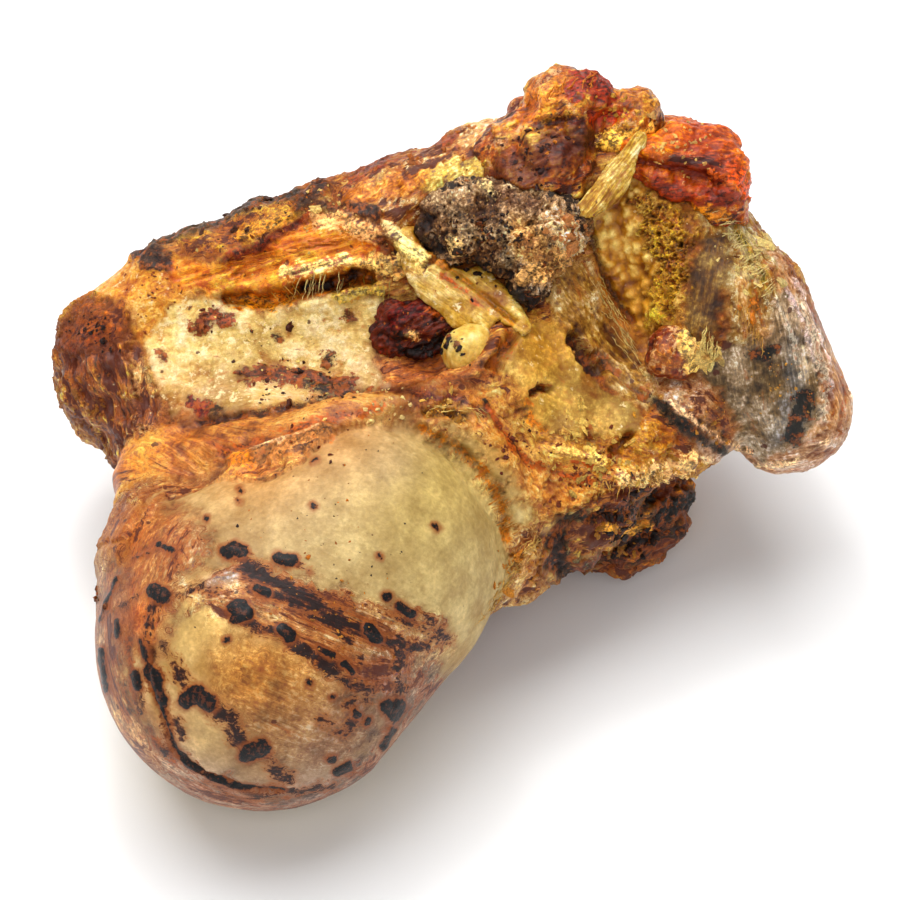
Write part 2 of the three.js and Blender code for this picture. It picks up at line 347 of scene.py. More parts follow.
# %% [markdown]
# The tables name each colour as the eye meets it. The film of fat on top adds a white veil to
# that, so the tissue under it has to be deeper, and every channel is raised to a power. Light
# that went through the tissue comes out redder, so red is raised least and blue most.

# %% Colours under the film of fat
VEIL = np.array([1.25, 1.27, 1.58])


def flesh(hex_colour):
    """The colour of tissue that looks like this under its film of fat."""
    return linear(hex_colour) ** VEIL


# %% [markdown]
# Threads run along the tissue, so their noise is read from points that are measured along and
# across them: long steps along, short steps across, and the noise is stretched into threads.

# %% The way of the threads
UPRIGHT = 0.8


def thread_way(tree, line):
    """The direction on a surface from the first pixel to the second."""
    ends = [under_pixel(tree, line[0], line[1]), under_pixel(tree, line[2], line[3])]
    if None in ends:
        ends = [(RIGHT * line[0] - UP * line[1],), (RIGHT * line[2] - UP * line[3],)]
    return ends[1][0] - ends[0][0]


def turned(points, way, grain, stretch):
    """The points measured along and across the threads, in grains."""
    along = np.array(way, float) / np.linalg.norm(way)
    side = np.cross(along, (0, 0, 1.0) if abs(along[2]) < UPRIGHT else (1.0, 0, 0))
    side /= np.linalg.norm(side)
    up = np.cross(along, side)
    return np.stack([points @ along / stretch, points @ side, points @ up], axis=1) / grain


# %% [markdown]
# One class dresses every piece. It takes the kinds of surface that the piece has, each one entry
# in a table: its outline in the photo, the direction of its threads (from one pixel to another),
# their width in mm, how high its relief stands, and three colours, for what lies deep, for the
# middle and for the crests. Later entries lie on top of earlier ones. The same relief moves the
# mesh and picks the colour: the deep colour in its creases is painted shade, and the crest colour
# on its tops is painted highlight. On top come tints, which are soft spots, and marks, which are
# strokes with a width, a colour and a height.
#
# All of it stops where the photo's view ends. Blotches of the same tissues cover the far sides.

# %% Dressing a mesh
CONTRAST = 1.35
CRISP_EDGE = 4
HALO = 0.5
DEPTH_SHARE = 0.75
LUMP = 4.0
FOLD = 9.0
BEAD = 2.0
RAGGED = 2.4
FINE = 0.9
BLOTCH = 17.0
BLOTCH_SHIFT = 50.0
NOWHERE = -6.0
SEEN_TO = 4.0
UNSEEN_FROM = 12.0
DEEPEST = -6.0
HIGHEST = 2.6
HALF_LAID = 0.5
# way is the direction of the threads, from one pixel to another. grain is a thread's width in mm
# and stretch how many times longer it is. fibre, lump, pebble and fold are heights in mm, and soft
# and ragged are widths of the edge in px. gloss, streaky, brown, cream and dark say how glossy,
# streaky, browned, creamy and speckled a surface is, from 0 to about 1.
DEFAULT = {"way": (215, 285, 345, 245), "grain": 1.5, "stretch": 5, "fibre": 0.2, "lump": 0.25,
           "pebble": 0.0, "fold": 0.0, "soft": 4, "ragged": 9, "gloss": 0.5, "streaky": 0.6,
           "brown": 0.3, "cream": 0.2, "dark": 0.5}
KEYS = ("fibre", "lump", "pebble", "fold", "gloss", "streaky", "brown", "cream", "dark")
PASSED_ON = ("gloss", "streaky", "brown", "cream", "dark")


class Dress:
    """What is known of each point of one piece while it is dressed."""

    def __init__(self, points, faces):
        self.points = points
        self.tree = tree_of(points, faces)
        self.normals = normals_of(points, faces)
        self.places = pixels(points)
        self.seen = step(UNSEEN_FROM, SEEN_TO, hidden(points, self.tree))
        self.ragged = lumps(points, RAGGED, 4)
        self.fine = lumps(points, FINE, 2)
        self.grain = np.zeros_like(points)
        self.amounts = {key: np.zeros(len(points)) for key in KEYS}
        self.tones = np.zeros((len(points), 3, 3))
        self.spot = np.full(len(points), NOWHERE)
        self.spot_paint = np.zeros_like(points)

    def lay(self, share, entry, grain=None):
        """Lays one kind of surface over the others, by its share at each point."""
        keep = 1 - share
        if grain is None:
            way = thread_way(self.tree, entry["way"])
            grain = turned(self.points, way, entry["grain"], entry["stretch"])
        self.grain = self.grain * keep[:, None] + grain * share[:, None]
        for key in KEYS:
            self.amounts[key] = self.amounts[key] * keep + entry[key] * share
        colours = np.array([flesh(colour) for colour in entry["colours"]])
        self.tones = self.tones * keep[:, None, None] + colours * share[:, None, None]

    def surfaces(self, table):
        """Lays each line of a table."""
        for entry in table:
            entry = {**DEFAULT, **entry}
            share = np.ones(len(self.points))
            if "blotch" in entry:
                place = self.points + entry["blotch"] * BLOTCH_SHIFT
                share = step(0.0, 0.2, lumps(place, BLOTCH, 3)) * (1 - self.seen)
            if "outline" in entry:
                depth = within(self.places, entry["outline"]) + entry["ragged"] * self.ragged
                share = step(-entry["soft"], entry["soft"], depth) * self.seen
            self.lay(share, entry)

    def raise_relief(self, decay=1.0, patch=0.3):
        """Turns the amounts into relief in mm and a tone from 0 to 1, and paints the tones."""
        fibre = threads(self.grain, 1.0, 2)
        lump = lumps(self.points, LUMP, 3, decay)
        fold = threads(self.points + 1.5 * lump[:, None], FOLD, 2)
        broad = lumps(self.points + 40, FOLD, 2)
        bent = self.points + 0.6 * np.stack([self.fine, lump, self.ragged], axis=1)
        pebble = 1 - 1.3 * cells(bent, BEAD)
        amounts = self.amounts
        # Threads and beads lie above zero on average. The shifts take most of that away again, so
        # that relief adds little thickness.
        self.relief = (amounts["fibre"] * (fibre - 0.3) + amounts["lump"] * (lump + 0.15 * self.fine)
                       + amounts["pebble"] * (pebble - 0.4) + amounts["fold"] * (fold - 0.2))
        fibrous = amounts["fibre"] / (amounts["fibre"] + 0.25)
        # The tone follows the same noises: above a half on a crest, below it in a crease, which paints shade
        # into the creases and light onto the crests.
        tone = (0.5 + 0.34 * fibre * fibrous + 0.34 * lump + 0.2 * self.fine + patch * broad
                + 0.16 * fold * step(0.0, 0.8, amounts["fold"]))
        # On beads the tone follows the beads, with painted shade in the gaps between them.
        pebbly = step(0.3, 0.8, amounts["pebble"])
        tone = tone * (1 - pebbly) + pebbly * (0.8 * pebble + 0.2 + 0.25 * broad + 0.15 * self.fine)
        self.tone = np.clip(0.5 + CONTRAST * (tone - 0.5), 0, 1)[:, None]
        low, middle, high = self.tones[:, 0], self.tones[:, 1], self.tones[:, 2]
        self.paint = np.where(self.tone < 0.5, low + (middle - low) * self.tone * 2,
                              middle + (high - middle) * (self.tone * 2 - 1))
        self.lump = lump

    def tints(self, table):
        """Shifts the colour softly round a pixel and keeps its light and dark."""
        for u, v, reach, colour, strength in table:
            away = np.hypot(self.places[:, 0] - u, self.places[:, 1] - v)
            share = (strength * np.exp(-(away / reach) ** 2) * self.seen)[:, None]
            shade = flesh(colour) * (self.paint.sum(1) / (self.tones[:, 1].sum(1) + 0.02))[:, None]
            self.paint = self.paint * (1 - share) + shade * share

    def marks(self, table):
        """Lays strokes: name, line, half width and edge in px, colour, height in mm, strength."""
        for name, line, width, edge, colour, height, strength in table:
            depth = width - near_line(self.places, line)[0]
            # Noise frays the edge, and a wide stroke more than a narrow one.
            depth += (0.5 * width + edge) * 0.7 * self.ragged + edge * 0.6 * self.fine
            share = step(-edge, edge, depth) * self.seen
            if share.max() < HALF_LAID:
                print("the mark", name, "touches nothing")
            self.relief += height * share * (1 + 0.4 * self.lump)
            crisp = edge <= CRISP_EDGE
            cover = strength * share[:, None] * (HALO if crisp else 1.0)
            # A mark's colour follows that tone too, with painted shade in creases and painted light on
            # crests.
            shade = flesh(colour) * (0.5 + self.tone)
            self.paint = self.paint * (1 - cover) + shade * cover
            self.amounts["brown"] = self.amounts["brown"] * (1 - 0.5 * share)
            self.amounts["cream"] = self.amounts["cream"] * (1 - 0.5 * share)
            if crisp:
                inside = depth * PHOTO_MM + NOWHERE * (1 - self.seen)
                on_top = inside > np.minimum(self.spot, 0.0)
                self.spot = np.where(on_top, inside, self.spot)
                self.spot_paint = np.where(on_top[:, None], shade, self.spot_paint)

    def stroke_depth(self, strokes):
        """How many mm inside the nearest stroke each point is."""
        depth = np.full(len(self.points), NOWHERE / PHOTO_MM)
        for line, width in strokes:
            depth = np.maximum(depth, width - near_line(self.places, line)[0])
        return depth * PHOTO_MM * self.seen + NOWHERE * (1 - self.seen)

    def moved(self, lift):
        """The points moved along their normals, never below the table."""
        shape = self.points + self.normals * np.clip(lift, DEEPEST, HIGHEST)[:, None]
        shape[:, 2] = np.maximum(shape[:, 2], 0.0)
        return shape

    def fields(self, **more):
        """What the material reads from the mesh."""
        low, middle, high = (self.tones[:, i] + 0.01 for i in range(3))
        return {"paint": np.clip(self.paint, 0, 1), "grain": self.grain, "spot": self.spot,
                "deep": np.clip(self.paint * (low / middle) ** DEPTH_SHARE, 0, 1),
                "crest": np.clip(self.paint * (high / middle) ** DEPTH_SHARE, 0, 1),
                "spot_paint": np.clip(self.spot_paint, 0, 1),
                **{key: self.amounts[key] for key in PASSED_ON}, **more}


# %% [markdown]
# The kinds of surface on the bone itself. Brown membrane lies everywhere, with its threads along
# the bone. The next three kinds are for the hidden sides: they have no outline, but lie in
# blotches of fat, lean meat and burnt tissue that fade out where the photo's view begins.

# %% Kinds of surface on the bone
BONE_SURFACES = [
    {"name": "membrane", "fibre": 0.35, "lump": 0.6, "brown": 0.4,
     "colours": ("#54261a", "#b06a38", "#dcaa6c")},
    {"name": "fat behind", "blotch": 1, "fibre": 0.15, "lump": 0.5, "brown": 0.26, "gloss": 0.6,
     "streaky": 0.4, "colours": ("#a86a2c", "#dcb070", "#f4dcac")},
    {"name": "lean meat behind", "blotch": 2, "fibre": 0.45, "lump": 0.5, "brown": 0.42, "gloss": 0.8,
     "colours": ("#3c120c", "#843a1e", "#c87840")},
    {"name": "burnt behind", "blotch": 3, "fibre": 0.3, "lump": 0.7, "brown": 0.52, "dark": 0.9,
     "colours": ("#140c0c", "#4c281c", "#98643c")},
    {"name": "valley", "way": (200, 350, 330, 335), "stretch": 1.6, "grain": 1.6, "fibre": 0.06,
     "lump": 0.5, "gloss": 0.4, "streaky": 0.25, "brown": 0.24, "cream": 0.4,
     "colours": ("#cc8c40", "#f6dca0", "#fff2d0"),
     "outline": [(140, 330), (165, 300), (222, 296), (262, 312), (300, 304), (345, 293), (392, 300),
                 (395, 330), (372, 350), (385, 385), (350, 392), (300, 403), (231, 418), (185, 418),
                 (160, 400), (148, 360)]},
    {"name": "left shoulder", "way": (100, 310, 200, 265), "colours": ("#c4681c", "#f2b650", "#fcdc98"),
     "gloss": 0.75, "stretch": 2, "fibre": 0.1, "brown": 0.24, "cream": 0.34,
     "outline": [(70, 320), (95, 285), (130, 262), (175, 255), (215, 262), (225, 292), (180, 300),
                 (150, 330), (140, 360), (120, 330)]},
    {"name": "ridge top", "way": (380, 225, 500, 150), "grain": 1.6, "stretch": 3, "lump": 0.7,
     "colours": ("#68240a", "#c07c2c", "#f2d090"), "gloss": 0.7, "brown": 0.5, "cream": 0.38,
     "outline": [(318, 212), (345, 178), (400, 150), (505, 112), (540, 125), (520, 175), (430, 215),
                 (425, 260), (378, 245), (345, 228)]},
    {"name": "ridge front", "way": (215, 285, 345, 245), "grain": 1.6, "stretch": 10, "fibre": 0.5,
     "colours": ("#c44c04", "#ffa010", "#ffc858"), "gloss": 0.95, "brown": 0.3, "cream": 0.26,
     "outline": [(165, 262), (222, 262), (255, 242), (318, 214), (345, 225), (378, 240), (372, 264),
                 (357, 270), (318, 276), (283, 287), (228, 295), (180, 292)]},
    {"name": "spongy strip", "way": (180, 250, 300, 205), "grain": 1.2, "stretch": 2, "lump": 0.5,
     "colours": ("#5c280c", "#bc7420", "#e4b458"), "gloss": 0.6, "brown": 0.46, "dark": 0.8,
     "outline": [(175, 240), (235, 215), (300, 197), (320, 205), (262, 245), (222, 262), (180, 255)]},
    {"name": "knob", "way": (95, 345, 125, 455), "grain": 1.5, "stretch": 5, "fibre": 0.6, "lump": 1.0,
     "colours": ("#1e0c0a", "#70341e", "#c88c58"), "gloss": 0.8, "brown": 0.52, "cream": 0.3,
     "outline": [(45, 350), (62, 320), (90, 292), (128, 305), (132, 340), (146, 400), (146, 470),
                 (120, 500), (110, 450), (70, 420)]},
    {"name": "knob top", "way": (70, 345, 125, 310), "grain": 1.3, "stretch": 2, "lump": 0.4,
     "colours": ("#34100a", "#602010", "#a04c1c"), "gloss": 0.6, "brown": 0.48, "cream": 0.1,
     "outline": [(55, 345), (66, 322), (88, 300), (125, 303), (130, 330), (112, 348), (80, 352)]},
    {"name": "neck", "way": (148, 380, 128, 500), "grain": 1.4, "stretch": 9, "fibre": 0.5, "lump": 0.4,
     "colours": ("#2c1014", "#a4603a", "#eab886"), "gloss": 0.9, "brown": 0.5, "cream": 0.3,
     "outline": [(128, 330), (142, 345), (162, 400), (160, 470), (135, 520), (95, 600), (78, 610),
                 (100, 540), (125, 480), (136, 430)]},
    {"name": "shelf", "way": (540, 450, 640, 480), "grain": 1.9, "stretch": 3, "fibre": 0.5, "lump": 0.9,
     "colours": ("#8c3c02", "#e09418", "#f8cc70"), "gloss": 0.7, "brown": 0.4, "cream": 0.3,
     "outline": [(500, 370), (530, 425), (575, 436), (640, 415), (660, 400), (700, 440), (705, 466),
                 (660, 482), (620, 502), (590, 512), (556, 520), (545, 545), (525, 600), (480, 632),
                 (465, 620), (500, 560), (510, 500), (488, 450), (480, 410)]},
    {"name": "crust beside dome", "way": (488, 410, 560, 490), "grain": 1.4, "stretch": 4, "fibre": 0.4,
     "lump": 0.8, "colours": ("#b0500c", "#ffa830", "#ffdc88"), "gloss": 0.75, "brown": 0.28,
     "outline": [(385, 398), (430, 384), (480, 392), (500, 392), (520, 440), (560, 480), (600, 490),
                 (570, 518), (525, 500), (500, 465), (470, 432), (420, 412)]},
    {"name": "torn edge", "way": (520, 515, 485, 615), "grain": 1.5, "stretch": 6, "fibre": 0.5,
     "lump": 0.5, "colours": ("#743410", "#e09838", "#fcd48c"), "gloss": 0.7, "brown": 0.46,
     "outline": [(506, 500), (545, 545), (540, 590), (505, 612), (480, 632), (462, 625), (492, 590),
                 (506, 545)]},
    {"name": "condyle fibres", "way": (565, 285, 650, 390), "grain": 1.5, "stretch": 9, "fibre": 0.3,
     "colours": ("#744418", "#c4924c", "#ecd4a4"), "gloss": 0.65, "brown": 0.3, "cream": 0.3,
     "outline": [(545, 292), (562, 265), (588, 258), (608, 290), (630, 330), (655, 370), (662, 400),
                 (645, 410), (612, 392), (585, 345), (560, 322)]},
    {"name": "joint plate", "way": (530, 340, 600, 430), "grain": 3.0, "stretch": 1, "fibre": 0.0,
     "lump": 0.25, "soft": 3, "ragged": 4, "gloss": 0.5, "streaky": 0.3, "brown": 0.2, "cream": 0.3,
     "dark": 0.2, "colours": ("#985c1c", "#ac8c54", "#d4bc84"),
     "outline": [(517, 334), (540, 322), (565, 326), (578, 352), (600, 388), (642, 408), (640, 430),
                 (600, 436), (562, 434), (538, 424), (528, 400), (516, 380), (502, 372), (506, 350)]},
    {"name": "leg", "way": (570, 565, 690, 515), "grain": 2.0, "stretch": 3, "fibre": 0.7, "lump": 1.2,
     "ragged": 4, "colours": ("#120706", "#44200e", "#a06a30"), "gloss": 0.6, "brown": 0.5,
     "outline": [(535, 520), (560, 512), (600, 498), (650, 476), (700, 476), (705, 530), (680, 560),
                 (640, 578), (600, 585), (560, 598), (540, 580)]},
    {"name": "condyle rim", "way": (800, 290, 846, 400), "grain": 1.6, "stretch": 9, "fibre": 0.2,
     "lump": 0.3, "colours": ("#a45c34", "#f0b888", "#ffe8d4"), "gloss": 0.8, "brown": 0.28,
     "outline": [(745, 195), (775, 245), (800, 290), (835, 325), (862, 380), (855, 440), (820, 455),
                 (780, 440), (740, 300)]},
    {"name": "condyle foot", "way": (845, 440, 730, 455), "grain": 1.6, "stretch": 8, "fibre": 0.2,
     "lump": 0.35, "colours": ("#8c5038", "#dcac90", "#fce6d8"), "gloss": 0.8, "brown": 0.3,
     "outline": [(850, 425), (845, 455), (800, 478), (765, 485), (715, 470), (690, 440), (660, 400),
                 (650, 360), (700, 380), (790, 440)]},
    {"name": "condyle cartilage", "way": (788, 300, 812, 440), "grain": 1.3, "stretch": 12,
     "fibre": 0.1, "lump": 0.15, "colours": ("#30262a", "#8c7058", "#d8c2b0"), "gloss": 0.95,
     "brown": 0.2, "cream": 0.25, "dark": 0.9, "streaky": 0.42,
     "outline": [(735, 318), (785, 290), (806, 330), (822, 372), (818, 420), (796, 448), (765, 460),
                 (730, 446), (705, 425), (694, 395), (704, 360), (722, 345)]},
    {"name": "mottled foot", "way": (670, 400, 740, 450), "grain": 1.8, "stretch": 2, "fibre": 0.15,
     "lump": 0.5, "colours": ("#54281a", "#cc9060", "#f8d4b0"), "gloss": 0.8, "brown": 0.42,
     "outline": [(655, 388), (690, 375), (718, 388), (740, 430), (738, 458), (712, 446), (682, 422)]},
    {"name": "condyle crust", "way": (728, 205, 768, 330), "grain": 1.3, "stretch": 7, "fibre": 0.4,
     "lump": 0.4, "colours": ("#7c4a14", "#bc8a40", "#e6d6a6"), "gloss": 0.55, "cream": 0.35,
     "outline": [(700, 205), (722, 190), (748, 196), (768, 235), (782, 280), (772, 318), (748, 345),
                 (730, 338), (726, 300), (722, 262), (700, 232)]},
    {"name": "brown patch", "way": (716, 240, 695, 340), "grain": 1.8, "stretch": 6, "fibre": 0.06,
     "lump": 0.12, "colours": ("#4c2e16", "#7e562c", "#b09068"), "gloss": 1.0, "brown": 0.1,
     "outline": [(688, 268), (706, 236), (728, 234), (734, 262), (722, 300), (716, 335), (698, 345),
                 (684, 325)]},
    {"name": "sponge", "way": (600, 200, 670, 320), "outline": SPONGE_SEEN, "grain": 2.0, "stretch": 1,
     "fibre": 0.0, "lump": 0.5, "pebble": 0.7, "soft": 3, "ragged": 5, "streaky": 0.1, "brown": 0.2,
     "cream": 0.25, "colours": ("#905410", "#d0963c", "#fcdc94"), "gloss": 1.0},
    {"name": "dry sponge", "way": (650, 200, 680, 320), "grain": 1.0, "stretch": 1, "fibre": 0.9,
     "lump": 0.9, "pebble": 0.2, "soft": 6, "ragged": 14, "streaky": 0.6, "gloss": 0.5, "brown": 0.36,
     "cream": 0.2, "colours": ("#30200c", "#a06c20", "#e0b050"),
     "outline": [(632, 190), (660, 205), (690, 215), (700, 235), (690, 265), (682, 300), (672, 325),
                 (650, 330), (645, 300), (655, 270), (640, 235)]},
    {"name": "amber strip", "way": (600, 240, 660, 350), "grain": 2, "stretch": 6, "fibre": 0.08,
     "lump": 0.2, "colours": ("#945018", "#d48e3c", "#f0c080"), "gloss": 1.0, "streaky": 0.25,
     "outline": [(588, 225), (598, 262), (614, 300), (640, 335), (664, 345), (666, 362), (645, 362),
                 (620, 332), (598, 290)]},
]
dress = Dress(skin, skin_faces)
dress.surfaces(BONE_SURFACES)
print("surfaces on the bone:", ", ".join(entry["name"] for entry in BONE_SURFACES))

# %% [markdown]
# The tendon band runs round the top of the dome like a rope, so its threads follow its line:
# how far along it a point is counts little, how far round it counts much. The dome itself is
# smooth hyaline cartilage, a milky cap with almost no threads, browned where it met the heat.

# %% Kinds of surface on the dome
BAND = {**DEFAULT, "fibre": 0.16, "lump": 0.14, "gloss": 0.75, "brown": 0.34, "cream": 0.2,
        "streaky": 0.5, "colours": ("#a44c04", "#faa432", "#ffcc6c")}
CAP = {**DEFAULT, "fibre": 0.0, "lump": 0.08, "gloss": 0.35, "streaky": 0.08, "brown": 0.06,
       "cream": 0.12, "dark": 0.3, "colours": ("#bc9464", "#c8ac88", "#dcc8a8")}
DOME_SURFACES = [
    {"name": "hot side of the dome", "way": (150, 650, 200, 500), "stretch": 3, "grain": 2.0,
     "fibre": 0.0, "lump": 0.12, "gloss": 0.4, "brown": 0.42, "soft": 12, "ragged": 14, "dark": 0.7,
     "colours": ("#8c4008", "#cc8030", "#e8b878"),
     "outline": [(100, 525), (150, 492), (205, 520), (225, 556), (190, 585), (168, 640), (130, 670),
                 (92, 640), (95, 570)]},
    {"name": "flank of the dome", "way": (108, 560, 130, 720), "stretch": 14, "grain": 2.2,
     "fibre": 0.0, "lump": 0.1, "gloss": 0.6, "brown": 0.42, "soft": 12,
     "colours": ("#48303a", "#bc8c66", "#f0c89c"),
     "outline": [(85, 560), (118, 548), (124, 620), (135, 700), (165, 752), (215, 785), (260, 800),
                 (240, 825), (130, 790), (80, 700)]},
    {"name": "amber of the dome", "way": (245, 562, 435, 639), "stretch": 8, "grain": 2.2,
     "fibre": 0.0, "lump": 0.1, "gloss": 0.5, "brown": 0.2, "soft": 24, "ragged": 20,
     "colours": ("#a86428", "#dc9c4c", "#f2ca84"),
     "outline": [(215, 640), (300, 640), (380, 690), (385, 740), (330, 775), (255, 760), (215, 700)]},
    {"name": "streaked tissue", "way": (245, 562, 435, 639), "stretch": 11, "grain": 1.9,
     "fibre": 0.12, "lump": 0.12, "gloss": 0.6, "brown": 0.5, "cream": 0.25, "soft": 10, "ragged": 14,
     "colours": ("#643010", "#c88840", "#f4d090"),
     "outline": [(238, 560), (300, 578), (350, 592), (400, 604), (448, 618), (452, 650), (430, 690),
                 (392, 702), (350, 690), (300, 655), (240, 626), (185, 612), (170, 592)]},
    {"name": "foot of the dome", "way": (180, 760, 330, 800), "stretch": 8, "grain": 2.0,
     "fibre": 0.0, "lump": 0.15, "gloss": 0.55, "brown": 0.42, "soft": 16, "ragged": 14,
     "colours": ("#584650", "#b89c98", "#e8d0c0"),
     "outline": [(160, 735), (215, 775), (280, 795), (330, 778), (385, 735), (430, 660), (450, 690),
                 (400, 780), (320, 825), (220, 830), (150, 790)]},
]
print("surfaces on the dome:", ", ".join(entry["name"] for entry in DOME_SURFACES))

# %% The band and the dome
BAND_LINE = [(-57, -14, 38), (-46, -15, 45), (-34, -18, 50.5), (-24, -18, 56), (-12, -15, 57.5),
             (0, -15, 55), (8, -19, 49), (13, -25, 38), (13, -29, 27)]
BAND_RADIUS = 9.5
BAND_GRAIN = 1.2
BAND_FADES = (395, 430)
CAP_WAY = on_bone(435, 639) - on_bone(245, 562)

band_away, band_along = near_line(skin, BAND_LINE)
cap_depth = dome_depth(skin) + 0.8 * dress.ragged
polar = round_the_pole(skin)[1]
band_share = step(BAND_RADIUS, BAND_RADIUS - 2.5, band_away + dress.ragged) * step(1.0, -1.0, cap_depth)
band_share *= 1 - 0.8 * step(*BAND_FADES, dress.places[:, 0]) * dress.seen
cap_share = step(-0.7, 0.7, cap_depth)
band_threads = np.stack([band_along / 9, polar * DOME_RADIUS, 0.3 * band_away], axis=1) / BAND_GRAIN
dress.lay(band_share, BAND, band_threads)
dress.lay(cap_share, CAP, turned(skin, CAP_WAY, 2.0, 3))
dress.surfaces(DOME_SURFACES)
dress.raise_relief()
print("cartilage covers", round(100 * float(cap_share.mean())), "% of the points")

# %% [markdown]
# Heat doesn't brown evenly. Broad soft tints warm the cartilage towards the hot side, and on
# top of them lie the small things that the eye looks for: scabs, holes, streaks and crumbs.

# %% Tints and marks on the bone
BONE_TINTS = [
    # pixel (two numbers), reach in px, colour, strength
    # The tint at (392, 462) is a painted greyish sheen on the top of the dome.
    (330, 520, 150, "#bca890", 0.6), (435, 490, 75, "#c8b074", 0.6), (392, 462, 34, "#b8a494", 0.6),
    (455, 560, 80, "#d0bc98", 0.5), (215, 545, 60, "#bc9c80", 0.6), (145, 540, 40, "#b0641c", 0.85),
    (112, 620, 30, "#ac7c70", 0.6), (200, 622, 40, "#e0c090", 0.8), (262, 690, 56, "#d08e40", 0.85),
    (365, 715, 55, "#b88c74", 0.75), (140, 735, 46, "#dca884", 0.75), (200, 790, 50, "#b8a09c", 0.8),
    (300, 790, 80, "#94808c", 0.8), (405, 700, 46, "#988084", 0.8), (137, 616, 20, "#d06c20", 0.8),
    (210, 732, 26, "#e8c8a0", 0.8), (195, 565, 26, "#b89878", 0.7), (230, 580, 24, "#b48c70", 0.7),
    (110, 280, 40, "#f09c34", 0.5), (190, 425, 40, "#b85c24", 0.6), (165, 380, 26, "#e4b070", 0.5),
    (430, 388, 36, "#a44c1c", 0.7), (400, 375, 34, "#a05c40", 0.7), (250, 340, 40, "#ccac70", 0.6),
    (545, 345, 36, "#cc9430", 0.7), (585, 455, 34, "#cc8e34", 0.5), (514, 442, 26, "#f0b060", 0.7),
    (222, 388, 24, "#b88c54", 0.8), (490, 130, 26, "#fcc48c", 0.8), (565, 412, 26, "#c8a470", 0.6),
    (518, 404, 20, "#b87c38", 0.6), (600, 424, 22, "#d4ac70", 0.6), (95, 345, 26, "#6c2c1c", 0.6),
    (690, 432, 16, "#541a18", 0.8), (812, 330, 30, "#dcc0ac", 0.8), (730, 380, 30, "#6a5448", 0.5),
    (750, 320, 26, "#8c6038", 0.6), (330, 420, 60, "#d07c30", 0.4), (250, 455, 50, "#dc8c30", 0.5),
    (272, 750, 40, "#d8a878", 0.5), (635, 330, 24, "#c88838", 0.5), (545, 400, 30, "#cca458", 0.4),
    (652, 300, 22, "#e8ac50", 0.7),
]
